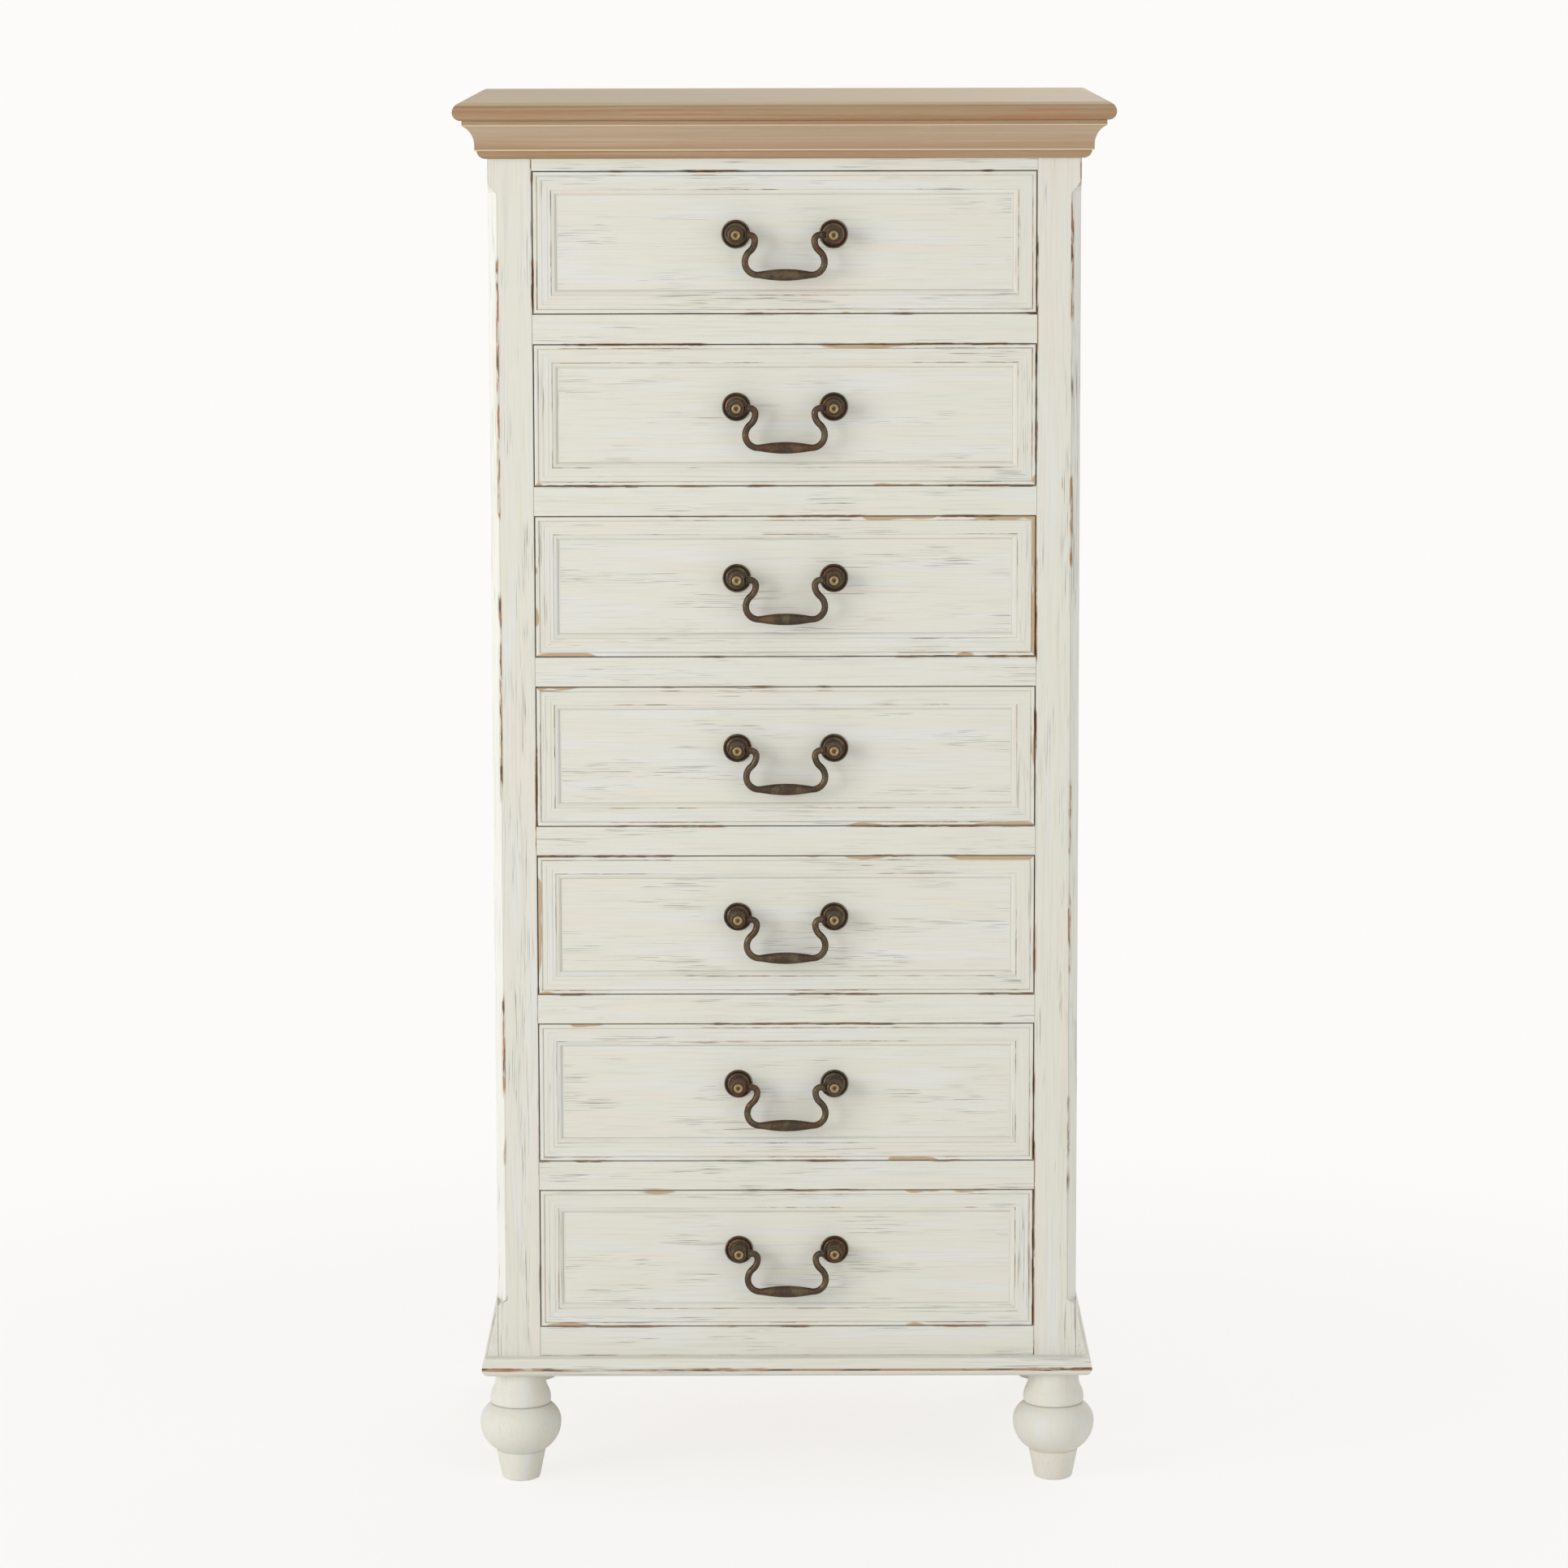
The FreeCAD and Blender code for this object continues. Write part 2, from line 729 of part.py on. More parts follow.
def make_front_frame():
    """The rails between the drawers, the runners behind them and the stop blocks on them."""
    top_rail = block(
        "top_front_rail", (-half_opening, face_y, opening_top), (half_opening, divider_rear_y, top_z)
    )
    bottom_rail = block(
        "bottom_front_rail",
        (-half_opening, face_y, carcass_z),
        (half_opening, divider_rear_y, first_opening_z),
    )
    dividers = []
    runners = []
    stops = []
    for level in range(DRAWERS):
        opening_z = first_opening_z + pitch * level
        low = opening_z - d.divider_height if level else carcass_z
        if level:
            dividers.append(
                block(
                    f"divider_{level}",
                    (-half_opening, face_y, low),
                    (half_opening, divider_rear_y, opening_z),
                )
            )
        for side, end in (("left", -1), ("right", 1)):
            runners.append(side_bar(f"runner_{side}_{level}", end, low, opening_z))
            stop_x = d.stop_spread / 2 * end - d.stop_width / 2
            stop_y = front_rear_y + d.slide_gap
            stops.append(
                block(
                    f"stop_{side}_{level}",
                    (stop_x, stop_y, opening_z),
                    (stop_x + d.stop_width, stop_y + d.stop_length, opening_z + d.stop_height),
                )
            )
    for side, end in (("left", -1), ("right", 1)):
        runners.append(side_bar(f"kicker_{side}", end, opening_top, opening_top + d.divider_height))
    return [
        top_rail,
        bottom_rail,
        group("drawer_dividers", dividers),
        group("drawer_runners", runners),
        group("drawer_stops", stops),
    ]


def side_bar(name, end, low, high):
    """A bar along one side from the front rails to the back rails, against the posts' inner faces."""
    inner = half_opening - d.runner_width
    first, last = (-half_opening, -inner) if end < 0 else (inner, half_opening)
    return block(name, (first, divider_rear_y, low), (last, back_rail_y, high))


def drawer_front_form():
    """The front of a drawer, drawn with the bottom of its opening at height zero.

    A small step runs round its edge, and a mitred ovolo leads down to the flat field.
    """
    low = d.front_gap
    high = d.opening_height - d.front_gap
    over = d.cut_overrun
    body = new_body("front_body")
    plate = draw(new_sketch(body, "front_plate", "XZ_Plane"), rectangle(low, high, 0))
    pad(body, plate, d.front_thickness, reverse=True)
    bead = draw(new_sketch(body, "front_bead", "XZ_Plane"), rectangle(low, high, d.edge_bead))
    pocket(body, bead, d.bead_step)
    field = draw(new_sketch(body, "front_field", "XZ_Plane"), rectangle(low, high, d.field_inset))
    pocket(body, field, d.field_depth)
    path = draw(new_sketch(body, "moulding_path", "XZ_Plane"), rectangle(low, high, d.field_inset))
    section = draw(
        new_sketch(body, "moulding_section", "YZ_Plane"),
        [
            (-over, low + d.frame_width),
            (d.bead_step + d.moulding_fillet, low + d.frame_width, "right", d.moulding_radius),
            (d.field_depth, low + d.field_inset),
            (d.field_depth, low + d.field_inset + over),
            (-over, low + d.field_inset + over),
        ],
    )
    moulding = body.newObject("PartDesign::SubtractivePipe", "front_moulding")
    moulding.Profile = section
    moulding.Spine = (path, ["Edge1", "Edge2", "Edge3", "Edge4"])
    moulding.Transition = "Right corner"
    place(body, 0, face_y, 0)
    inner = front_half - d.box_side_thickness + d.box_groove
    groove = block(
        "front_groove_tool",
        (-inner, front_rear_y - d.box_groove, box_bottom_z),
        (inner, front_rear_y + over, box_bottom_z + d.box_bottom_thickness + d.box_groove_play),
    )
    hole_radius = d.stud_radius + d.stud_fit
    holes = [
        rod(f"stud_hole_{index}", FIXING_SIDES, hole_radius, d.front_thickness, centre, (0, 1, 0))
        for index, centre in enumerate(stud_centres)
    ]
    return carve("drawer_front_form", body, [groove] + holes)


def rectangle(low, high, inset):
    """The corners of a drawer front's outline, drawn in by an inset."""
    half = front_half - inset
    return [(-half, low + inset), (half, low + inset), (half, high - inset), (-half, high - inset)]


def drawer_box_form():
    """Two sides, a back and a bottom that slides into grooves of the sides and the front."""
    inner = front_half - d.box_side_thickness
    rear = back_rail_y - d.box_rear_play
    bottom_top = box_bottom_z + d.box_bottom_thickness
    groove_half = inner + d.box_groove
    groove = block(
        "box_groove_tool",
        (-groove_half, front_rear_y - d.cut_overrun, box_bottom_z),
        (groove_half, rear + d.cut_overrun, bottom_top + d.box_groove_play),
    )
    side_top = d.opening_height - d.box_top_play
    side = block("box_side_blank", (-front_half, front_rear_y, d.slide_gap), (-inner, rear, side_top))
    left = carve("box_side_left", side, [groove])
    back = block(
        "box_back",
        (-inner, rear - d.box_back_thickness, bottom_top),
        (inner, rear, side_top - d.box_back_drop),
    )
    tongue = groove_half - d.box_groove_play
    bottom = block(
        "box_bottom", (-tongue, front_rear_y - d.box_groove, box_bottom_z), (tongue, rear, bottom_top)
    )
    return group("drawer_box_form", [left, mirror("box_side_right", left), back, bottom])


def handle_mounts_form():
    """Two turned roses with their studs, bored for the bail, and the square nuts behind the front."""
    x, y, z = stud_centres[0]
    stud_end = d.front_thickness - d.field_depth + d.stud_tail
    shoulder = d.mount_body_start - (d.mount_body_radius - d.mount_neck_radius)
    outline = [
        (d.rosette_radius, 0),
        (d.rosette_radius, d.rosette_rim),
        (d.rosette_ring_radius, d.rosette_thickness),
        (d.mount_neck_radius, d.rosette_thickness + d.rosette_crown),
        (d.mount_neck_radius, shoulder),
        (d.mount_body_radius, d.mount_body_start),
        (d.mount_body_radius, d.mount_body_end),
        (d.button_radius, d.mount_length),
    ]
    turned = stack("rose_turned", ROSE_SIDES, outline, (0, -1, 0), (x, y, z))
    stud_base = (x, y - d.rosette_rim, z)
    stud = rod("rose_stud", FIXING_SIDES, d.stud_radius, stud_end + d.rosette_rim, stud_base, (0, 1, 0))
    bore_radius = (d.pin_radius + d.pin_fit) / math.cos(math.pi / BORE_SIDES)
    bore_length = d.pin_depth + d.pin_end_play + d.cut_overrun
    bore_base = (-pin_end - d.pin_end_play, bail_y, z)
    bore = rod("pin_bore", BORE_SIDES, bore_radius, bore_length, bore_base, (1, 0, 0))
    rose = carve("rose_left", join("rose_blank", [turned, stud]), [bore])
    nut_blank = block(
        "nut_blank",
        (x - d.nut_half_width, front_rear_y, z - d.nut_half_width),
        (x + d.nut_half_width, front_rear_y + d.nut_thickness, z + d.nut_half_width),
    )
    nut = carve("nut_left", nut_blank, [stud])
    return group("handle_mounts_form", [rose, nut, mirror("rose_right", rose), mirror("nut_right", nut)])


def bail_form():
    """A swan-neck bail: round pins, hooks, bellies and a swelling grip, drawn about its pivot line."""
    corner = d.grip_drop - d.belly_drop
    hook = arc_offsets(d.hook_radius, d.hook_radius, BEND_SHARES)
    neck = arc_offsets(
        (d.belly_reach - d.hook_reach) / 2, (d.belly_drop - d.hook_radius) / 2, BEND_SHARES
    )
    belly = arc_offsets(corner, corner)
    hook_x = d.hook_reach + d.hook_radius
    grip_half = d.belly_reach - corner
    shoulder = d.handle_spacing / 2 - d.mount_body_radius - d.shoulder_play
    points = [(shoulder, 0)]
    points += [(hook_x - ahead, -side) for side, ahead in hook]
    points += [(d.hook_reach + side, -(d.hook_radius + down)) for side, down in neck[1:]]
    points += [(d.belly_reach - side, up - d.belly_drop) for side, up in reversed(neck[:-1])]
    points += [(d.belly_reach - side, -(d.belly_drop + down)) for side, down in belly[1:]]
    corners = [(-x, z) for x, z in points] + list(reversed(points))
    path = doc.addObject("Sketcher::SketchObject", "bail_path")
    upright = FreeCAD.Rotation(FreeCAD.Vector(1, 0, 0), 90)
    path.Placement = FreeCAD.Placement(FreeCAD.Vector(), upright)
    draw(path, corners, closed=False)
    wire = doc.addObject("Part::Sweep", "bail_wire")
    wire.Sections = [ring("bail_section", ROD_SIDES, d.bail_radius, (-shoulder, 0, 0), (1, 0, 0))]
    wire.Spine = (path, [f"Edge{index}" for index in range(1, len(corners))])
    wire.Solid = True
    wire.Transition = "Right corner"
    wire.Linearize = True
    swell = d.grip_radius - d.bail_radius
    outline = []
    for share in GRIP_SHARES:
        outline.append((d.bail_radius + swell * (1 - share * share), grip_half * share))
    grip = stack("bail_grip", ROD_SIDES, outline, (1, 0, 0), (0, 0, -d.grip_drop))
    pin_length = pin_end - shoulder + d.pin_root
    left_pin = pin("pin_left", d.pin_radius, pin_length, (-pin_end, 0, 0), (1, 0, 0))
    right_pin = pin("pin_right", d.pin_radius, pin_length, (pin_end, 0, 0), (-1, 0, 0))
    return join("bail_form", [wire, grip, left_pin, right_pin])


def make_drawers():
    """Seven drawers alike, each with its front, box, handle mounts and bail."""
    forms = {
        "drawer_front": drawer_front_form(),
        "drawer_box": drawer_box_form(),
        "handle_mounts": handle_mounts_form(),
        "bail": bail_form(),
    }
    nodes = []
    for number in range(1, DRAWERS + 1):
        opening_z = first_opening_z + pitch * (DRAWERS - number)
        for name, form in forms.items():
            node = group(f"{name}_{number}", [form])
            if name == "bail":
                place(node, 0, bail_y, opening_z + handle_z)
            else:
                place(node, 0, 0, opening_z)
            nodes.append(node)
    return nodes


def check_document():
    for item in doc.Objects:
        faults = [state for state in item.State if state in ("Invalid", "Error")]
        if faults:
            raise RuntimeError(f"{item.Name}: {faults} {item.getStatusString()}")


def check_shape(node):
    if node.Shape.isNull() or not node.Shape.isValid() or not node.Shape.Solids:
        raise RuntimeError(f"{node.Label}: its shape is empty or not valid")


box_bottom_z = d.slide_gap + d.box_bottom_lift
handle_z = d.opening_height / 2 + d.handle_lift
stud_centres = [(d.handle_spacing / 2 * end, field_y, handle_z) for end in (-1, 1)]
bail_y = field_y - d.bail_standoff
pin_end = d.handle_spacing / 2 - d.mount_body_radius + d.pin_depth

nodes = make_top() + make_cornice() + make_base() + make_feet() + make_sides()
nodes += make_back() + make_front_frame() + make_drawers()
doc.recompute()
check_document()
for node in nodes:
    check_shape(node)
os.makedirs("parts", exist_ok=True)
for node in nodes:
    node.Shape.exportStep(f"parts/{node.Label}.step")
print(f"{len(nodes)} sub-parts, {sum(len(node.Shape.Solids) for node in nodes)} solids")
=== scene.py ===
"""Tallboy: moulded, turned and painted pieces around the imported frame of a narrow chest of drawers.

Metres, in the frame's own axes: the floor is z = 0, +Z is up and the drawers face -Y.
Drawer 1 is the top one and drawer 7 the bottom one.
"""
import math

import bmesh
import bpy
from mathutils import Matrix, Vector


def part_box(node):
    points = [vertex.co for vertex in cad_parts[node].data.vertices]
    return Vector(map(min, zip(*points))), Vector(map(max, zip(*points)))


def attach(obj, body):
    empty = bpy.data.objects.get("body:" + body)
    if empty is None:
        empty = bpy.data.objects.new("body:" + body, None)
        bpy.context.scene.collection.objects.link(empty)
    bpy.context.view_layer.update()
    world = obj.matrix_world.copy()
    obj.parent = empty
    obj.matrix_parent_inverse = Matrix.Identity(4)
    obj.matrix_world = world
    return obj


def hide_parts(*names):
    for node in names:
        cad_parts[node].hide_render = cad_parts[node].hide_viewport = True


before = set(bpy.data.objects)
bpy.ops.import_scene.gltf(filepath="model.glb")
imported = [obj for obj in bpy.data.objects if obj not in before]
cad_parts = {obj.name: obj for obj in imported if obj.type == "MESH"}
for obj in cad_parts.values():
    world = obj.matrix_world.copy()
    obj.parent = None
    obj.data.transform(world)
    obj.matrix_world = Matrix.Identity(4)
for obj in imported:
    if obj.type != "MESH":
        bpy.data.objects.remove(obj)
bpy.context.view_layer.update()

DRAWERS = range(1, 8)
SIDES = {"left": -1, "right": 1}

# the camera, worked out from where the chest's corners stand in the photograph
EYE = (0.0, -5.4015, 1.441)
PITCH_DOWN = math.radians(7.82)
ROLL = math.radians(0.12)
LENS_MM = 131.0
SENSOR_MM = 36.0
FRAME_SHIFT = -0.045

# edges: their easing, the reach of wear and of grime with painted shade, and how exposed each kind is
EASING = 0.0005
WEAR_REACH = 0.0022
GRIME_AND_SHADE_REACH = 0.0014
WORN_SHARE = 0.45
CUT_SHARE = 0.2
GAP_EDGE_EXPOSURE = 0.78
SHELTERED_EDGE_EXPOSURE = 0.45
POST_EDGE_EXPOSURE = 1.1
SANDED_EDGE_EXPOSURE = 1.6
WELD = 0.00001
CORNER_TURN = math.radians(20)
SHARP_TURN = math.radians(30)
ARC_STEP = math.radians(9)
SMALL_ARC_STEP = math.radians(20)

# top board and cornice, and how far their lime was rubbed off
NOSE_RADIUS = 0.0088
NOSE_UNDER = 0.0072
NOSE_HEIGHT = 0.0077
NOSE_RUBBED_FROM = 0.0152
NOSE_RUBBED_FULLY = 0.0132
CORNICE_TOE = 0.0010
CORNICE_OVOLO_RADIUS = 0.0080
CORNICE_STEP_RISE = 0.0075
CORNICE_WAIST = 0.0110
CORNICE_WAIST_RISE = 0.0130
CORNICE_COVE_END = 0.0212
CORNICE_LIP = 0.0048
CORNICE_LIP_SETBACK = 0.0024
OVOLO_RUBBED = 0.85
LIP_RUBBED = 0.75
COVE_RUBBED = 0.70
COVE_RUBBED_RISE = 0.0300

# base moulding and the flared strips above it
BASE_RAIL_WIDTH = 0.045
BASE_NOSE_RADIUS = 0.0076
BASE_TOP_REACH = 0.0115
COVE_TOP_EDGE = 0.0008
SIDE_COVE_RISE = 0.0540

# stopped chamfers of the front posts
CHAMFER_LEG = 0.0085
CHAMFER_STOP_HIGH = 0.0120
CHAMFER_STOP_LOW = 0.0065
CHAMFER_BELOW_CORNICE = 0.021
CHAMFER_ABOVE_BASE = 0.0475
STOP_STEPS = 10

# drawer fronts
FRONT_GAP = 0.0010
FRONT_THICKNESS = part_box("drawer_front_1")[1].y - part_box("drawer_front_1")[0].y
EDGE_BEAD = 0.0034
BEAD_STEP = 0.0006
INNER_BEAD_SPARED = 0.5
FRAME_LINES = (0.0080, 0.0130)
LINE_STEP = 0.0003
LINE_FAINTNESS = 0.35
FRAME_WIDTH = 0.0165
FRAME_FILLET = 0.0004
FIELD_INSET = 0.0210
FIELD_DEPTH = 0.0040
ROLL_SHADE = 0.40

# turned feet: a taper, a crease, a ball, a ring and a neck
FOOT_TOE = 0.0150
FOOT_TOE_EASING = 0.0008
FOOT_HEEL = 0.0180
FOOT_HEEL_RISE = 0.0030
FOOT_ANKLE = 0.0228
FOOT_ANKLE_RISE = 0.0265
FOOT_CREASE = 0.0232
FOOT_CREASE_RISE = 0.0285
FOOT_CREASE_DEPTH = 0.0004
FOOT_BALL = 0.0380
FOOT_BALL_RISE = 0.0545
FOOT_RING_CREASE = 0.0268
FOOT_RING_RISE = 0.0725
FOOT_RING = 0.0284
FOOT_RING_EASING = 0.0012
FOOT_RING_SWELL_RISE = 0.0770
FOOT_COLLAR = 0.0252
FOOT_COLLAR_RISE = 0.0880
FOOT_NECK = 0.0237
FOOT_NECK_RISE = 0.0960
FOOT_SIDES = 72

# handle mounts: a stud with its nut, a rose, a neck, the body and a button
HANDLE_SPACING = 0.089
HANDLE_LIFT = 0.0075
STUD_RADIUS = 0.0025
STUD_BEHIND_FIELD = 0.0220
STUD_TIP = 0.0005
NUT_HALF_WIDTH = 0.0050
NUT_THICKNESS = 0.0035
ROSE_SIDES = 48
ROSE_RADIUS = 0.0131
ROSE_THICKNESS = 0.0016
ROSE_RIM = 0.0010
ROSE_HOLLOW = 0.0108
ROSE_HOLLOW_ROUND = 0.0010
ROSE_HOLLOW_LIFT = 0.0007
ROSE_RING = 0.0083
ROSE_RING_RISE = 0.0023
ROSE_RING_ROUND = 0.0027
NECK_RADIUS = 0.0053
NECK_ROUND = 0.0023
FLARE_ROUND = 0.0019
FLARE_START = 0.0052
MOUNT_RADIUS = 0.0074
MOUNT_START = 0.0094
MOUNT_END = 0.0213
SHOULDER_ROUND = 0.0018
BUTTON_RADIUS = 0.0030
BUTTON_ROUND = 0.0014
BUTTON_RISE = 0.0231
BUTTON_GROOVE = 0.0050
BUTTON_DIMPLE = 0.0010
BUTTON_DIMPLE_RISE = 0.0003
BUTTON_PIT = 0.0002

# bails: pins, collars, hooks, bellies and a swelling grip
BAIL_STANDOFF = 0.0170
BAIL_RADIUS = 0.0030
PIN_RADIUS = 0.00235
PIN_DEPTH = 0.0040
COLLAR_RADIUS = 0.0040
COLLAR_START = 0.0008
COLLAR_WIDTH = 0.0014
COLLAR_STEP = 0.00002
COLLAR_EASING = 0.0003
KNUCKLE_RADIUS = 0.0036
KNUCKLE_EASING = 0.0002
KNUCKLE_RUN = 0.0006
HOOK_REACH = 0.0270
HOOK_RADIUS = 0.0050
BELLY_REACH = 0.0362
BELLY_DROP = 0.0245
GRIP_DROP = 0.0362
GRIP_RADIUS = 0.0054
GRIP_STEPS = 24
GRIP_FULLNESS = 1.2
BAIL_TOUCHED = 0.35
GRIP_TOUCHED = 0.20
BAIL_SIDES = 24

# nails in the back panel
NAIL_SPACING = 0.118
NAIL_EDGE_INSET = 0.0045
NAIL_RADIUS = 0.0026
NAIL_PROUD = 0.0007
NAIL_SIDES = 12
NAIL_DOME_STEPS = 4
NAIL_DOME_STEP = math.radians(25)

# finishes: how worn the feet are, how far a bare edge lies under the paint, and the tints of the lime
FOOT_WORN = 0.25
BARE_EDGE_DROP = 0.8
MOULDING_LIME = "B6A486"
TOP_LIME = "D0BE9E"

# studio: the floor's shadow fades into plain background
BACKGROUND = "FCFBF9"
SKY_STRENGTH = 0.56
FLOOR_RADIUS = 12.0
FLOOR_SIDES = 96
FLOOR_FADE_START = 0.5
FLOOR_FADE_END = 1.6
FLOOR_SHADOW_SHARE = 0.17
# each lamp's place, the height that it points at, its width and its power in watts
LAMPS = {
    "window_light": ((-3.8, -2.9, 1.5), 0.65, 2.4, 100.0),
    "fill_light": ((3.0, -3.4, 1.3), 0.6, 2.6, 28.0),
    "back_light": ((1.4, 3.8, 2.6), 0.65, 2.4, 40.0),
}


def arc(centre, radius, start, end, step=ARC_STEP):
    """Points along an arc, from one angle to another in degrees, both ends among them."""
    start, end = math.radians(start), math.radians(end)
    steps = max(2, math.ceil(abs(end - start) / step))
    angles = [start + (end - start) * index / steps for index in range(steps + 1)]
    return [(centre[0] + radius * math.cos(angle), centre[1] + radius * math.sin(angle)) for angle in angles]


def arc_to_upright(start, upright):
    """An arc between two points that runs straight up at the second one."""
    across, along = start[0] - upright[0], start[1] - upright[1]
    radius = (across * across + along * along) / (2 * abs(across))
    centre = (upright[0] + math.copysign(radius, across), upright[1])
    first = math.degrees(math.atan2(start[1] - centre[1], start[0] - centre[0]))
    last = 180 if across > 0 else 0
    if last - first > 180:
        last -= 360
    return arc(centre, radius, first, last)


def eased(outline, closed=True, exposure=1.0):
    """Take the sharpness off an outline's corners. Gives each point with how exposed it is and how much grime
    and painted shade its inner corner gets.
    """
    points = [Vector(point) for point in outline]
    ring = list(zip(points, points[1:] + points[:1]))
    way_round = 1 if sum(a.x * b.y - b.x * a.y for a, b in ring) > 0 else -1
    soft = []
    for index, here in enumerate(points):
        into = here - points[index - 1]
        out = points[(index + 1) % len(points)] - here
        turn = into.angle_signed(out) * -way_round
        at_end = not closed and index in (0, len(points) - 1)
        if at_end or abs(turn) < CORNER_TURN:
            soft.append((here, 0.0, 0.0))
            continue
        back, ahead = -into.normalized(), out.normalized()
        reach = WEAR_REACH if turn > 0 else GRIME_AND_SHADE_REACH
        soft.append((here + back * min(reach, WORN_SHARE * into.length), 0.0, 0.0))
        if turn > 0:
            cut = min(EASING, CUT_SHARE * into.length, CUT_SHARE * out.length)
            soft += [(here + way * cut, exposure, 0.0) for way in (back, ahead)]
        else:
            soft.append((here, 0.0, 1.0))
        soft.append((here + ahead * min(reach, WORN_SHARE * out.length), 0.0, 0.0))
    return soft


def new_shell():
    """An empty mesh in the making, with room for the marks on its points."""
    shell = bmesh.new()
    for title in ("arris", "crease", "rubbed", "bared"):
        shell.verts.layers.float.new(title)
    return shell


def add_row(shell, points, **marks):
    """A row of points with the same marks, which the materials read.

    arris tells how exposed they are, crease how much grime and painted shade they get, rubbed how far a
    hand rubbed the lime off them or how much painted highlight whitens a chamfer, and bared how near a
    drawer front's outer edge they are.
    """
    row = [shell.verts.new(point) for point in points]
    for title, value in marks.items():
        layer = shell.verts.layers.float[title]
        for vert in row:
            vert[layer] = value
    return row


def skin(shell, rows, rings=False, finish_of=lambda index: 0):
    """Faces between neighbouring rows and over both ends. The rows are rings, or stand in a ring."""
    pairs = list(zip(rows, rows[1:]))
    if not rings:
        pairs.append((rows[-1], rows[0]))
    for first, second in pairs:
        spans = len(first) if rings else len(first) - 1
        for index in range(spans):
            after = (index + 1) % len(first)
            face = shell.faces.new((first[index], first[after], second[after], second[index]))
            face.material_index = finish_of(index)
    for end in (0, -1):
        shell.faces.new(rows[end] if rings else [row[end] for row in rows])


def extrude_outline(shell, outline, run, rubbed=lambda point: 0.0):
    """A closed outline carried along a straight run. run gives a point's two ends."""
    skin(shell, [
        add_row(shell, run(*point), arris=arris, crease=crease, rubbed=rubbed(point))
        for point, arris, crease in outline
    ])


def revolve(shell, outline, sides, centre=(0.0, 0.0, 0.0), toward=(0, 0, 1)):
    """Turn an outline of (radius, distance, exposed, grime and painted shade) about a line through the
    centre.
    """
    middle, axis = Vector(centre), Vector(toward)
    right = axis.orthogonal().normalized()
    ahead = axis.cross(right)
    angles = [math.tau * side / sides for side in range(sides)]
    spokes = [right * math.cos(angle) + ahead * math.sin(angle) for angle in angles]
    rows = []
    for radius, distance, arris, crease in outline:
        points = [middle + axis * distance + spoke * radius for spoke in spokes]
        rows.append(add_row(shell, points, arris=arris, crease=crease))
    skin(shell, rows, rings=True)


def smooth_rounds(mesh):
    """Smooth the round stretches and leave the sharp turns."""
    mesh.shade_smooth()
    mesh.set_sharp_from_angle(angle=SHARP_TURN)


def make_mesh(shell, name, finishes):
    """Close the seams, turn the faces outwards and smooth the round stretches."""
    bmesh.ops.remove_doubles(shell, verts=shell.verts, dist=WELD)
    bmesh.ops.recalc_face_normals(shell, faces=shell.faces)
    mesh = bpy.data.meshes.new(name)
    shell.to_mesh(mesh)
    shell.free()
    smooth_rounds(mesh)
    for finish in finishes:
        mesh.materials.append(finish)
    return mesh


def add_object(name, data):
    """Put a mesh, a lamp or a camera into the scene."""
    added = bpy.data.objects.new(name, data)
    bpy.context.scene.collection.objects.link(added)
    return added


def set_in_frame(piece, body, slot, *nodes):
    """Let a piece move with its body, in place of the nodes that it stands for. Its slot is not used."""
    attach(piece, body)
    if nodes:
        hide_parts(*nodes)


def add_piece(shell, node, form, finishes, body="carcass", slot="painted_wood"):
    """A finished piece in place of a node, named after the node and the work that formed it."""
    name = f"{node}_{form}"
    set_in_frame(add_object(name, make_mesh(shell, name, finishes)), body, slot, node)


def add_node(tree, kind, inputs=None, **settings):
    """Add a node with its settings, and fill its inputs with plain values or with other nodes' outputs."""
    node = tree.nodes.new(kind)
    for setting, value in settings.items():
        setattr(node, setting, value)
    for key, value in (inputs or {}).items():
        if isinstance(value, bpy.types.NodeSocket):
            tree.links.new(value, node.inputs[key])
        else:
            node.inputs[key].default_value = value
    return node


def colour(hex_code):
    """A linear colour from an sRGB hex code."""
    shares = [int(hex_code[start:start + 2], 16) / 255 for start in (0, 2, 4)]
    return tuple(s / 12.92 if s <= 0.04045 else ((s + 0.055) / 1.055) ** 2.4 for s in shares) + (1.0,)


def new_material(name, settings):
    """A material whose surface shader has these settings. Gives the material, its tree and the shader."""
    material = bpy.data.materials.new(name)
    material.use_nodes = True
    tree = material.node_tree
    surface = tree.nodes["Principled BSDF"]
    for setting, value in settings.items():
        surface.inputs[setting].default_value = value
    return material, tree, surface


def grain_place(tree, grain):
    """Where a point is on its piece, with the way of the grain as the first coordinate."""
    place = add_node(tree, "ShaderNodeTexCoord").outputs["Object"]
    parts = add_node(tree, "ShaderNodeSeparateXYZ", {0: place}).outputs
    order = {"x": (0, 1, 2), "y": (1, 2, 0), "z": (2, 0, 1)}[grain]
    chosen = {index: parts[part] for index, part in enumerate(order)}
    return add_node(tree, "ShaderNodeCombineXYZ", chosen).outputs[0]


def flecks(tree, place, size, shown, detail=2.0, moved=0.0):
    """Soft flecks of a given length along the grain and width across it.

    shown tells how high the field behind them has to be for a fleck to begin and for it to be full.
    """
    long, wide = size
    inputs = {0: place, 1: (1 / long, 1 / wide, 1 / wide), 2: (moved, moved, moved)}
    stretched = add_node(tree, "ShaderNodeVectorMath", inputs, operation="MULTIPLY_ADD")
    inputs = {"Vector": stretched.outputs[0], "Scale": 1.0, "Detail": detail, "Roughness": 0.55}
    field = add_node(tree, "ShaderNodeTexNoise", inputs)
    inputs = {"Value": field.outputs["Fac"], "From Min": shown[0], "From Max": shown[1]}
    return add_node(tree, "ShaderNodeMapRange", inputs, interpolation_type="SMOOTHSTEP").outputs[0]


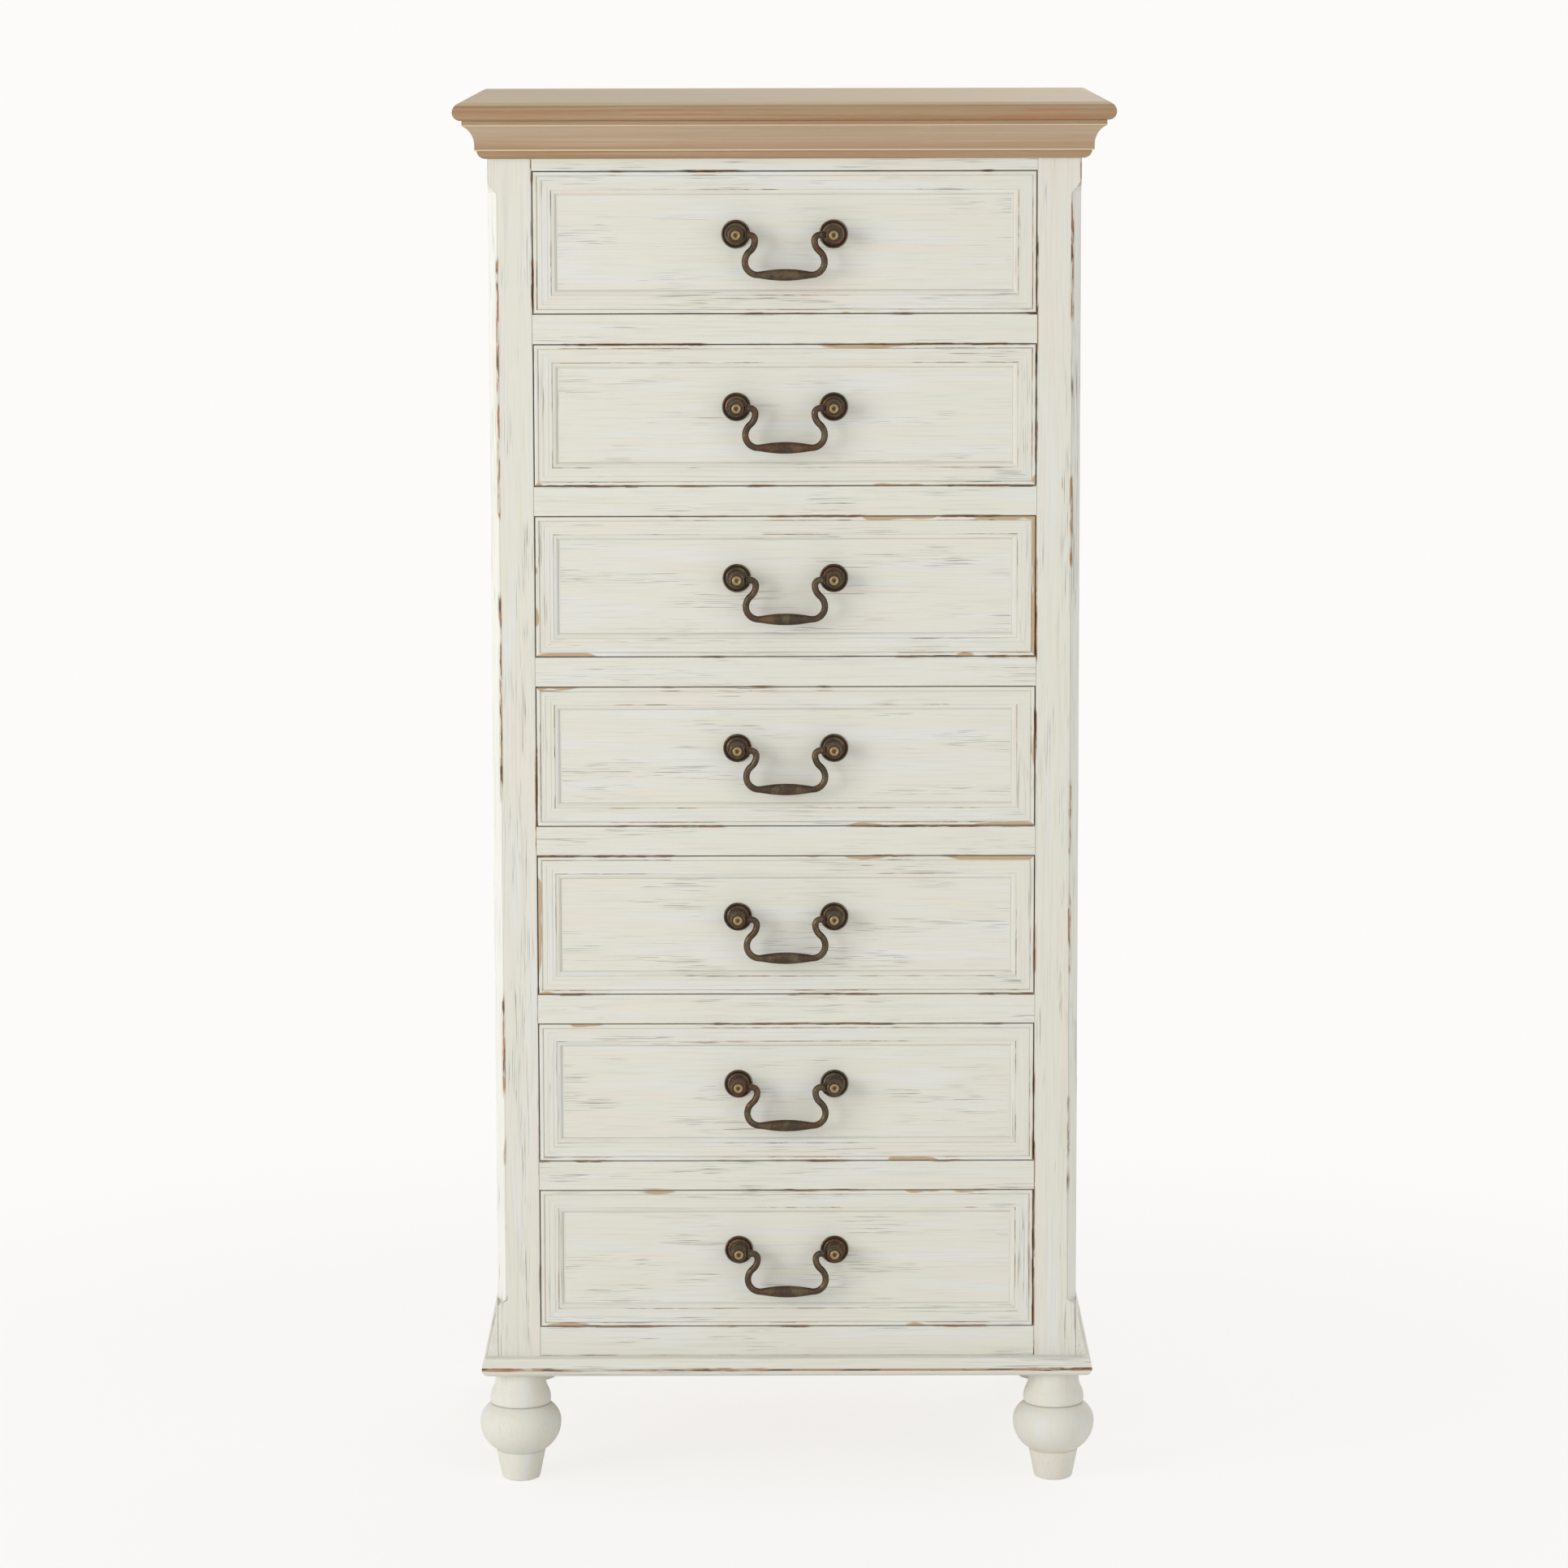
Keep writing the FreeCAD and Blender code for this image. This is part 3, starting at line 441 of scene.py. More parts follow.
def mark(tree, title, start=0.0, full=1.0):
    """How strongly a mark on a piece's points shows: nothing at the start value, all at the full one."""
    value = add_node(tree, "ShaderNodeAttribute", attribute_name=title).outputs["Fac"]
    inputs = {"Value": value, "From Min": start, "From Max": full}
    return add_node(tree, "ShaderNodeMapRange", inputs, interpolation_type="SMOOTHSTEP").outputs[0]


def layered(tree, ground, *layers):
    """Lay colours over one another. Each has a tint, the most that it covers, and shares that limit it."""
    result = colour(ground)
    for tint, most, *shares in layers:
        cover = most
        for share in shares:
            cover = add_node(tree, "ShaderNodeMath", {0: cover, 1: share}, operation="MULTIPLY").outputs[0]
        tint = colour(tint) if isinstance(tint, str) else tint
        result = add_node(tree, "ShaderNodeMix", {0: cover, 6: result, 7: tint}, data_type="RGBA").outputs[2]
    return result


def coat(tree, surface, tint, relief, dullness, strength, depth):
    """Give a surface its tint and relief, and a dullness between two values that follows the relief."""
    tree.links.new(tint, surface.inputs["Base Color"])
    inputs = {"Value": relief, "To Min": dullness[0], "To Max": dullness[1]}
    dull = add_node(tree, "ShaderNodeMapRange", inputs)
    tree.links.new(dull.outputs[0], surface.inputs["Roughness"])
    bump = add_node(tree, "ShaderNodeBump", {"Height": relief, "Strength": strength, "Distance": depth})
    tree.links.new(bump.outputs[0], surface.inputs["Normal"])


def chalk_paint(name, grain, worn=1.0):
    """Brushed chalk paint on pine, sanded through by hand.

    The eye sees a flat off-white that drifts from cream to a cool grey, fine ridges that follow the brush
    and the grain, thin grey scratches in clusters, brown wood in long thin lines where hands and
    sandpaper took the paint off the edges, and longer tan runs along the drawers' beads. Chamfers are
    painted whiter, a painted highlight for the light that falls on them. Inner corners and creases are
    painted a darker grey, partly grime and partly painted shade. Real ridges and scratches are finer.
    They are drawn 0.8 to 1.5 mm wide, so that they show.
    """
    material, tree, surface = new_material(name, {"Specular IOR Level": 0.35})
    place = grain_place(tree, grain)
    cool = flecks(tree, place, (0.150, 0.013), (0.46, 0.68))
    warm = flecks(tree, place, (0.240, 0.021), (0.50, 0.70), moved=7.3)
    ridges = flecks(tree, place, (0.070, 0.0015), (0.46, 0.76), detail=3.0, moved=1.7)
    clusters = flecks(tree, place, (0.120, 0.018), (0.52, 0.62), moved=3.1)
    scratches = flecks(tree, place, (0.060, 0.0008), (0.585, 0.645), detail=1.0, moved=5.9)
    gouges = flecks(tree, place, (0.048, 0.0009), (0.660, 0.705), detail=1.0, moved=9.2)
    stretches = flecks(tree, place, (0.095, 0.040), (0.51, 0.57), moved=11.5)
    chips = flecks(tree, place, (0.018, 0.0022), (0.42, 0.52), detail=3.0, moved=17.1)
    cores = flecks(tree, place, (0.022, 0.0030), (0.50, 0.60), moved=13.7)
    reds = flecks(tree, place, (0.070, 0.0300), (0.50, 0.60), moved=19.3)
    long_runs = flecks(tree, place, (0.060, 0.0400), (0.36, 0.52), detail=3.0, moved=23.9)
    hand_rubbed = flecks(tree, place, (0.130, 0.0900), (0.51, 0.70), detail=3.0, moved=29.1)
    edge = mark(tree, "arris", 0.50, 0.82)
    thin_edge = mark(tree, "arris", 0.20, 0.90)
    post_edge = mark(tree, "arris", 0.80, 1.08)
    sanded = mark(tree, "arris", 1.20, 1.45)
    # chamfers: painted highlight, whiter for the light that falls on them
    smooth = mark(tree, "rubbed", 0.80, 1.00)
    corner = mark(tree, "crease", 0.20, 1.00)
    bead = add_node(tree, "ShaderNodeAttribute", attribute_name="bared").outputs["Fac"]
    reached = add_node(tree, "ShaderNodeMath", {0: hand_rubbed, 1: bead}, operation="MULTIPLY").outputs[0]
    inputs = {"Value": reached, "From Min": 0.30, "From Max": 0.40}
    bared = add_node(tree, "ShaderNodeMapRange", inputs, interpolation_type="SMOOTHSTEP").outputs[0]

    wood = layered(tree, "A68460", ("A0684E", 0.6, reds), ("4A3A32", 0.85, cores))
    paint = layered(
        tree, "DFDDD1",
        ("DFE1DF", 0.60, cool),
        ("E2DACE", 0.55, warm),
        # painted highlight on the chamfers
        ("EFEFE8", 0.60, smooth),
        ("CBC8BC", 0.45 * worn, ridges),
        ("9FA09D", 0.62 * worn, scratches, clusters),
        ("75695E", 0.70 * worn, gouges, clusters),
        # inner corners, creases and the roll down to each drawer's field: partly grime, partly painted shade
        ("A09A8C", 0.50, corner),
        ("BDB4A5", 0.45 * worn, thin_edge, stretches),
        ("A59A8C", 0.45 * worn, post_edge),
        ("B99C78", 0.90 * worn, bared),
        (wood, worn, edge, stretches, chips),
        (wood, 0.9 * worn, sanded, long_runs),
    )
    inputs = {0: edge, 1: -BARE_EDGE_DROP, 2: ridges}
    relief = add_node(tree, "ShaderNodeMath", inputs, operation="MULTIPLY_ADD").outputs[0]
    coat(tree, surface, paint, relief, dullness=(0.66, 0.84), strength=0.30, depth=0.00022)
    return material


def limed_wood(name, grain, lime):
    """Planed oak-like hardwood, limed, then waxed by hand.

    The eye sees a greyish beige with long thin figure and pale lime in the pores. Where the lime was rubbed
    off, on the nose and the lowest moulding, the wood is a warm brown with a reddish streak. Sharp edges
    hold a thin pale line, partly lime left in them and partly a painted highlight. Inner corners are painted
    darker, partly grime and partly painted shade. Real pores are finer. They are drawn 0.7 mm wide, so
    that they show.
    """
    material, tree, surface = new_material(name, {"Specular IOR Level": 0.2})
    place = grain_place(tree, grain)
    boards = flecks(tree, place, (0.900, 0.055), (0.44, 0.60), moved=2.2)
    figure = flecks(tree, place, (0.340, 0.0034), (0.46, 0.70), detail=3.0, moved=4.4)
    pale_figure = flecks(tree, place, (0.280, 0.0026), (0.52, 0.72), moved=15.1)
    pores = flecks(tree, place, (0.022, 0.0007), (0.58, 0.72), moved=6.6)
    amber = flecks(tree, place, (0.420, 0.0050), (0.44, 0.60), moved=12.3)
    blush = flecks(tree, place, (0.150, 0.0080), (0.56, 0.68), moved=8.8)
    rubbed = mark(tree, "rubbed")
    most_rubbed = mark(tree, "rubbed", 0.55, 1.00)
    edge = mark(tree, "arris", 0.30, 0.85)
    corner = mark(tree, "crease", 0.20, 1.00)
    wood = layered(
        tree, lime,
        ("CDB8A4", 0.60, boards),
        ("A99678", 0.40, figure),
        ("A38668", 0.90, rubbed),
        ("9C7853", 0.60, most_rubbed, amber),
        ("B07050", 0.45, most_rubbed, blush),
        ("C9BCA4", 0.30, pale_figure),
        ("CFC3AE", 0.20, pores),
        # pale line on sharp edges: partly lime left in them, partly painted highlight
        ("DFCCA8", 0.85, edge),
        # inner corners: partly grime, partly painted shade
        ("8E7A60", 0.40, corner),
    )
    coat(tree, surface, wood, pores, dullness=(0.62, 0.76), strength=0.25, depth=0.0002)
    return material


def bare_pine(name, grain):
    """Planed pine without a finish, for the parts that nobody sees.

    The eye sees pale yellow wood with long soft rings, darker late wood and a dull, dry face. Real fibres
    are finer. They are drawn 0.9 mm wide, so that they show.
    """
    material, tree, surface = new_material(name, {})
    place = grain_place(tree, grain)
    rings = flecks(tree, place, (0.900, 0.010), (0.48, 0.66), detail=3.0, moved=1.1)
    late_wood = flecks(tree, place, (0.900, 0.0040), (0.55, 0.68), moved=2.7)
    fibres = flecks(tree, place, (0.040, 0.0009), (0.40, 0.70), moved=3.3)
    wood = layered(
        tree, "DCC39B",
        ("CDAE80", 0.60, rings),
        ("BF9866", 0.45, late_wood),
        ("E6D3B0", 0.40, fibres),
    )
    coat(tree, surface, wood, fibres, dullness=(0.72, 0.90), strength=0.30, depth=0.0002)
    return material


def aged_brass(name):
    """Cast brass, browned with acid, then rubbed back by hand.

    The eye sees a brown-black metal with an olive cast, soft broad highlights, and yellow brass where the
    proud parts were rubbed. Dark wax stays in the hollows. The real grit of the casting is finer. It is
    drawn 1.6 mm wide, so that it shows.
    """
    material, tree, surface = new_material(name, {"Metallic": 1.0})
    place = add_node(tree, "ShaderNodeTexCoord").outputs["Object"]
    cloud = flecks(tree, place, (0.014, 0.014), (0.46, 0.62), detail=3.0, moved=0.7)
    rust = flecks(tree, place, (0.030, 0.030), (0.48, 0.62), moved=8.1)
    grit = flecks(tree, place, (0.0016, 0.0016), (0.35, 0.70), moved=2.9)
    touched = mark(tree, "arris", 0.10, 0.70)
    proud = mark(tree, "arris", 0.78, 1.00)
    hollow = mark(tree, "crease", 0.10, 1.00)
    metal = layered(
        tree, "51463B",
        ("5F5545", 0.65, cloud),
        ("62483A", 0.70, rust),
        ("40362E", 0.50, grit),
        ("78694F", 0.45, touched, cloud),
        ("9F8A62", 0.85, proud),
        ("30261E", 0.80, hollow),
    )
    coat(tree, surface, metal, grit, dullness=(0.38, 0.60), strength=0.30, depth=0.0003)
    return material


def plain_steel(name):
    """Drawn steel without a coating, for bolts and nails.

    The eye sees a grey metal with faint drawing lines and a little dull oxide. Real lines are finer. They
    are drawn 0.6 mm wide, so that they show.
    """
    material, tree, surface = new_material(name, {"Metallic": 1.0})
    place = grain_place(tree, "z")
    lines = flecks(tree, place, (0.030, 0.0006), (0.30, 0.70), moved=1.3)
    oxide = flecks(tree, place, (0.006, 0.006), (0.52, 0.68), detail=3.0, moved=4.1)
    metal = layered(tree, "9A9A9C", ("7B7470", 0.80, oxide))
    coat(tree, surface, metal, lines, dullness=(0.30, 0.50), strength=0.15, depth=0.0001)
    return material


def new_geometry_tree(name, inputs):
    """A geometry tree with named inputs. Gives the tree and the nodes for what comes in and what goes out."""
    tree = bpy.data.node_groups.new(name, "GeometryNodeTree")
    tree.interface.new_socket("Geometry", in_out="INPUT", socket_type="NodeSocketGeometry")
    for title, kind in inputs.items():
        tree.interface.new_socket(title, in_out="INPUT", socket_type=kind)
    tree.interface.new_socket("Geometry", in_out="OUTPUT", socket_type="NodeSocketGeometry")
    return tree, tree.nodes.new("NodeGroupInput").outputs, tree.nodes.new("NodeGroupOutput")


def end_tree(tree, outgoing, geometry, material):
    """End a geometry tree with real points and faces, all in one material."""
    real = add_node(tree, "GeometryNodeRealizeInstances", {"Geometry": geometry})
    inputs = {"Geometry": real.outputs[0], "Material": material}
    painted = add_node(tree, "GeometryNodeSetMaterial", inputs)
    tree.links.new(painted.outputs[0], outgoing.inputs[0])
    return tree


def bent_bar_tree():
    """A round bar along a line, as thick at each point as the line's girth there."""
    inputs = {"Sides": "NodeSocketInt", "Finish": "NodeSocketMaterial"}
    tree, given, outgoing = new_geometry_tree("bent_bar", inputs)
    line = add_node(tree, "GeometryNodeMeshToCurve", {"Mesh": given["Geometry"]})
    girth = add_node(tree, "GeometryNodeInputNamedAttribute", {"Name": "girth"}, data_type="FLOAT")
    inputs = {"Resolution": given["Sides"], "Radius": 1.0}
    section = add_node(tree, "GeometryNodeCurvePrimitiveCircle", inputs)
    inputs = {"Curve": line.outputs[0], "Profile Curve": section.outputs[0], "Scale": girth.outputs[0]}
    bar = add_node(tree, "GeometryNodeCurveToMesh", inputs | {"Fill Caps": True})
    return end_tree(tree, outgoing, bar.outputs[0], given["Finish"])


def copies_tree():
    """A copy of one part at each point."""
    inputs = {"Part": "NodeSocketObject", "Finish": "NodeSocketMaterial"}
    tree, given, outgoing = new_geometry_tree("copies", inputs)
    part = add_node(tree, "GeometryNodeObjectInfo", {"Object": given["Part"]})
    inputs = {"Points": given["Geometry"], "Instance": part.outputs["Geometry"]}
    placed = add_node(tree, "GeometryNodeInstanceOnPoints", inputs)
    return end_tree(tree, outgoing, placed.outputs[0], given["Finish"])


def grow(name, seed_mesh, tree, values):
    """Run a geometry tree over a mesh and keep the result as a plain mesh."""
    piece = add_object(name, seed_mesh)
    modifier = piece.modifiers.new(tree.name, "NODES")
    modifier.node_group = tree
    for item in tree.interface.items_tree:
        if item.name in values:
            modifier[item.identifier] = values[item.name]
    graph = bpy.context.evaluated_depsgraph_get()
    finished = piece.evaluated_get(graph)
    mesh = bpy.data.meshes.new_from_object(finished, preserve_all_data_layers=True, depsgraph=graph)
    piece.modifiers.clear()
    piece.data = mesh
    smooth_rounds(mesh)
    return piece


def point_mesh(name, points, edges=(), **values):
    """A mesh of bare points and lines, with named values on the points."""
    mesh = bpy.data.meshes.new(name)
    mesh.from_pydata(points, edges, [])
    for title, numbers in values.items():
        mesh.attributes.new(title, "FLOAT", "POINT").data.foreach_set("value", numbers)
    return mesh


def make_top():
    """The top board: a thumb-moulded nose on the front and both sides, square at the back."""
    low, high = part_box("top_board")
    under = low.z + NOSE_HEIGHT
    drop_radius = (NOSE_UNDER ** 2 + NOSE_HEIGHT ** 2) / (2 * NOSE_UNDER)
    first = math.degrees(math.atan2(-NOSE_HEIGHT, NOSE_UNDER - drop_radius)) % 360
    outline = arc((drop_radius, under), drop_radius, first, 180)
    outline += arc((NOSE_RADIUS, under), NOSE_RADIUS, 180, 90)[1:]
    outline.append((NOSE_RADIUS + WEAR_REACH, high.z))
    shell = new_shell()
    rows = []
    for inset, z in outline:
        exposed = (NOSE_RUBBED_FROM - z + low.z) / (NOSE_RUBBED_FROM - NOSE_RUBBED_FULLY)
        exposed = min(1.0, max(0.0, exposed))
        points = [
            (low.x + inset, high.y, z),
            (low.x + inset, low.y + inset, z),
            (high.x - inset, low.y + inset, z),
            (high.x - inset, high.y, z),
        ]
        rows.append(add_row(shell, points, rubbed=exposed))
    skin(shell, rows, rings=True)
    add_piece(shell, "top_board", "moulded", [LIMED_TOP], slot="top_wood")


def mitred_run(place, half_width, face_y, rear_y, base_z):
    """How a point of an outline becomes the two ends of its line, mitred where front and sides meet."""
    def run(out, up):
        left, right = ((side * (half_width + out), face_y - out, base_z + up) for side in SIDES.values())
        if place == "front":
            return [left, right]
        x, y, z = left if place == "left" else right
        return [(x, y, z), (x, rear_y, z)]

    return run


def cornice_rubbing(point):
    """The lowest moulding and the lip lost most of their lime, the hollow less and less with height."""
    if point.y < CORNICE_STEP_RISE:
        return OVOLO_RUBBED
    if point.x > CORNICE_COVE_END + WELD:
        return LIP_RUBBED
    return COVE_RUBBED * max(0.0, 1 - (point.y - CORNICE_WAIST_RISE) / COVE_RUBBED_RISE)


def cornice_outline(reach, height):
    """The cornice's section: a quarter round, a hollow above it and a flat lip under the top."""
    ovolo_end = -math.degrees(math.asin(1 - CORNICE_STEP_RISE / CORNICE_OVOLO_RADIUS))
    cove = arc_to_upright((CORNICE_COVE_END, height - CORNICE_LIP), (CORNICE_WAIST, CORNICE_WAIST_RISE))
    outline = [(0.0, 0.0)]
    outline += arc((CORNICE_TOE, CORNICE_OVOLO_RADIUS), CORNICE_OVOLO_RADIUS, -90, ovolo_end)
    outline += [(CORNICE_WAIST, CORNICE_STEP_RISE)] + cove[::-1]
    outline += [(reach, height - CORNICE_LIP), (reach, height), (0.0, height)]
    lip_top = height - CORNICE_LIP / 2
    return [(point, 0.0 if point.y > lip_top else arris, crease) for point, arris, crease in eased(outline)]


def base_outline(reach, height):
    """The base moulding's section: a round nose, sanded along its front, and a slope up to the rail."""
    nose = arc((reach - BASE_NOSE_RADIUS, BASE_NOSE_RADIUS), BASE_NOSE_RADIUS, -90, 0)
    slope = arc_to_upright((BASE_TOP_REACH, height), (reach, BASE_NOSE_RADIUS))
    outline = [(-BASE_RAIL_WIDTH, 0.0)] + nose + slope[::-1][1:] + [(-BASE_RAIL_WIDTH, height)]
    marked = []
    for point, arris, crease in eased(outline, exposure=SHELTERED_EDGE_EXPOSURE):
        on_front = point.x > reach - EASING / 4 and point.y < BASE_NOSE_RADIUS + WELD
        marked.append((point, SANDED_EDGE_EXPOSURE if on_front else arris, crease))
    return marked


def make_mouldings():
    """The cornice and the base moulding, each a front length and two sides that meet it in a mitre."""
    post_low, post_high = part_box("front_post_right")
    rear_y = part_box("rear_post_right")[1].y
    low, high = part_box("cornice_front")
    cornice = cornice_outline(post_low.y - low.y - CORNICE_LIP_SETBACK, high.z - low.z)
    low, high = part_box("base_moulding_front")
    base = base_outline(post_low.y - low.y, high.z - low.z)
    for stem, outline, finishes, slot, rubbed in (
        ("cornice", cornice, LIMED, "top_wood", cornice_rubbing),
        ("base_moulding", base, PAINT, "painted_wood", lambda point: 0.0),
    ):
        base_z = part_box(f"{stem}_front")[0].z
        for place in ("front", *SIDES):
            run = mitred_run(place, post_high.x, post_low.y, rear_y, base_z)
            shell = new_shell()
            extrude_outline(shell, outline, run, rubbed)
            finish = finishes["x" if place == "front" else "y"]
            add_piece(shell, f"{stem}_{place}", "moulded", [finish], slot=slot)


def chamfer_leg(z, start, end):
    """How far the corner is cut back at a height: nothing at the ends, full between the curved stops."""
    share = min(1.0, max(0.0, min((z - start) / CHAMFER_STOP_LOW, (end - z) / CHAMFER_STOP_HIGH)))
    swell = share * share * (3 - 2 * share)
    return EASING + (CHAMFER_LEG - EASING) * swell


def post_section(width, depth, leg):
    """A front post's section. Each point has its way across and back, how exposed it is and how much painted
    highlight whitens it.
    """
    middle_wear = max(0.0, POST_EDGE_EXPOSURE * (1 - leg / (2 * WEAR_REACH)))
    outer_wear = max(middle_wear, SHELTERED_EDGE_EXPOSURE)
    # the chamfer's depth, which also sets how much painted highlight whitens it
    smooth = (leg - EASING) / (CHAMFER_LEG - EASING)
    return [
        (0.0, depth, 0.0, 0.0),
        (0.0, WEAR_REACH, 0.0, 0.0),
        (0.0, EASING, 1.0, 0.0),
        (EASING, 0.0, 1.0, 0.0),
        (WEAR_REACH, 0.0, 0.0, 0.0),
        (width - leg - WEAR_REACH, 0.0, 0.0, 0.0),
        (width - leg, 0.0, POST_EDGE_EXPOSURE, smooth),
        (width - leg / 2, leg / 2, middle_wear, smooth),
        (width, leg, outer_wear, smooth),
        (width, leg + WEAR_REACH, 0.0, 0.0),
        (width, depth, 0.0, 0.0),
    ]


def both_sides(stem):
    """The left and the right piece of a pair: name, side, box corners and the X of the inner face."""
    for place, side in SIDES.items():
        name = f"{stem}_{place}"
        low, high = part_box(name)
        yield name, side, low, high, low.x if side > 0 else high.x


def make_front_posts():
    """The front posts. Their outer front corners have a chamfer that ends in a lamb's tongue at each end."""
    cornice_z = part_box("cornice_front")[0].z
    for name, side, low, high, inner_x in both_sides("front_post"):
        start, end = low.z + CHAMFER_ABOVE_BASE, cornice_z - CHAMFER_BELOW_CORNICE
        heights = [low.z]
        heights += [start + CHAMFER_STOP_LOW * step / STOP_STEPS for step in range(STOP_STEPS + 1)]
        heights += [end - CHAMFER_STOP_HIGH * step / STOP_STEPS for step in range(STOP_STEPS, -1, -1)]
        heights.append(high.z)
        shell = new_shell()
        levels = []
        for z in heights:
            section = post_section(high.x - low.x, high.y - low.y, chamfer_leg(z, start, end))
            # the rubbed mark carries how much painted highlight whitens the chamfer
            levels.append([
                add_row(shell, [(inner_x + side * across, low.y + back, z)], arris=exposed, rubbed=smooth)[0]
                for across, back, exposed, smooth in section
            ])
        skin(shell, list(zip(*levels)))
        add_piece(shell, name, "chamfered", [PAINT["z"]])


def add_board(shell, low, high, grain):
    """A straight board between two corners, along X or Y, with its long edges eased."""
    size = high - low
    width = size.y if grain == "x" else size.x
    outline = eased([(0.0, 0.0), (width, 0.0), (width, size.z), (0.0, size.z)], exposure=GAP_EDGE_EXPOSURE)

    def run(across, up):
        if grain == "x":
            return [(x, low.y + across, low.z + up) for x in (low.x, high.x)]
        return [(low.x + across, y, low.z + up) for y in (low.y, high.y)]

    extrude_outline(shell, outline, run)


def make_rear_posts():
    """The rear posts, each with the rebate that takes an edge of the back panel."""
    panel_low, panel_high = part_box("back_panel")
    for name, side, low, high, inner_x in both_sides("rear_post"):
        width, depth = high.x - low.x, high.y - low.y
        lap, ledge = panel_high.x - abs(inner_x), panel_low.y - low.y
        outline = [(0.0, 0.0), (width, 0.0), (width, depth), (lap, depth), (lap, ledge), (0.0, ledge)]
        shell = new_shell()
        extrude_outline(shell, eased(outline), lambda across, back: [
            (inner_x + side * across, low.y + back, z) for z in (low.z, high.z)
        ])
        add_piece(shell, name, "rebated", [PAINT["z"]])


def make_rails():
    """The front rails and dividers, and the rails of the sides."""
    grains = {"top_front_rail": "x", "bottom_front_rail": "x"}
    grains |= {f"side_{end}_rail_{place}": "y" for place in SIDES for end in ("top", "bottom")}
    for node, grain in grains.items():
        shell = new_shell()
        add_board(shell, *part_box(node), grain)
        add_piece(shell, node, "eased", [PAINT[grain]])
    low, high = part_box("drawer_dividers")
    shell = new_shell()
    for number in DRAWERS[:-1]:
        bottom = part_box(f"drawer_front_{number + 1}")[1].z + FRONT_GAP
        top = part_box(f"drawer_front_{number}")[0].z - FRONT_GAP
        add_board(shell, Vector((low.x, low.y, bottom)), Vector((high.x, high.y, top)), "x")
    add_piece(shell, "drawer_dividers", "eased", [PAINT["x"]])


def make_side_coves():
    """The flared strips low on the sides."""
    for name, side, low, high, inner_x in both_sides("side_cove"):
        outline = [(0.0, 0.0)] + arc_to_upright((high.x - low.x, 0.0), (COVE_TOP_EDGE, SIDE_COVE_RISE))
        outline.append((0.0, SIDE_COVE_RISE))
        shell = new_shell()
        extrude_outline(shell, eased(outline, exposure=SHELTERED_EDGE_EXPOSURE), lambda out, up: [
            (inner_x + side * out, y, low.z + up) for y in (low.y, high.y)
        ])
        add_piece(shell, name, "moulded", [PAINT["y"]])


def turned_outline(*stretches):
    """An outline to turn. Each stretch has its points, how exposed they are and how much grime and painted
    shade they get.
    """
    return [(radius, rise, arris, crease) for points, arris, crease in stretches for radius, rise in points]


def foot_outline(height):
    """A foot from the floor up: a taper, a crease, a ball, a ring and a neck."""
    toe = [(FOOT_TOE, 0.0), (FOOT_HEEL - FOOT_TOE_EASING, FOOT_HEEL_RISE / 3), (FOOT_HEEL, FOOT_HEEL_RISE)]
    ball_low = arc_to_upright((FOOT_CREASE, FOOT_CREASE_RISE), (FOOT_BALL, FOOT_BALL_RISE))
    ball_high = arc_to_upright((FOOT_RING_CREASE, FOOT_RING_RISE), (FOOT_BALL, FOOT_BALL_RISE))
    ring = arc_to_upright((FOOT_COLLAR, FOOT_COLLAR_RISE), (FOOT_RING, FOOT_RING_SWELL_RISE))
    neck = arc_to_upright((FOOT_COLLAR, FOOT_COLLAR_RISE), (FOOT_NECK, FOOT_NECK_RISE))
    return turned_outline(
        (toe, 0.0, 0.0),
        ([(FOOT_ANKLE, FOOT_ANKLE_RISE)], 0.0, 0.2),
        ([(FOOT_CREASE - FOOT_CREASE_DEPTH, FOOT_CREASE_RISE - FOOT_CREASE_DEPTH)], 0.0, 1.0),
        (ball_low + ball_high[-2:0:-1], 0.0, 0.0),
        ([(FOOT_RING_CREASE, FOOT_RING_RISE)], 0.0, 1.0),
        ([(FOOT_RING - FOOT_CREASE_DEPTH, FOOT_RING_RISE + FOOT_RING_EASING)], 0.0, 0.2),
        (ring[::-1] + neck[1:], 0.0, 0.0),
        ([(FOOT_NECK, height)], 0.0, 0.3),
    )


def make_feet():
    """Four turned feet."""
    for end in ("front", "rear"):
        for place in SIDES:
            name = f"foot_{end}_{place}"
            low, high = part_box(name)
            shell = new_shell()
            centre = ((low.x + high.x) / 2, (low.y + high.y) / 2, low.z)
            revolve(shell, foot_outline(high.z - low.z), FOOT_SIDES, centre)
            add_piece(shell, name, "turned", [FOOT_PAINT])


def front_outline():
    """A drawer front's section from its rear edge to its field: each point's inset, depth and marks."""
    outline = [(0.0, FRONT_THICKNESS), (0.0, 0.0), (EDGE_BEAD, 0.0), (EDGE_BEAD, BEAD_STEP)]
    depth = BEAD_STEP
    for inset in FRAME_LINES:
        outline += [(inset, depth), (inset, depth + LINE_STEP)]
        depth += LINE_STEP
    outline += [(FRAME_WIDTH, depth), (FRAME_WIDTH, depth + FRAME_FILLET)]
    roll = arc_to_upright((FIELD_DEPTH, FIELD_INSET), (depth + FRAME_FILLET, FRAME_WIDTH))
    outline += [(inset, depth) for depth, inset in reversed(roll[:-1])]
    outline.append((FIELD_INSET + GRIME_AND_SHADE_REACH, FIELD_DEPTH))
    marked = []
    for point, arris, crease in eased(outline, closed=False):
        share = 1.0
        if point.x < EASING + WELD:
            share = GAP_EDGE_EXPOSURE
        elif any(abs(point.x - line) < EASING for line in FRAME_LINES):
            share = LINE_FAINTNESS
        # the half of the roll nearest the field gets painted shade through its crease mark
        on_roll = (FRAME_WIDTH + FIELD_INSET) / 2 < point.x < FIELD_INSET
        marked.append((point, arris * share, max(crease * share, ROLL_SHADE if on_roll else 0.0)))
    return marked


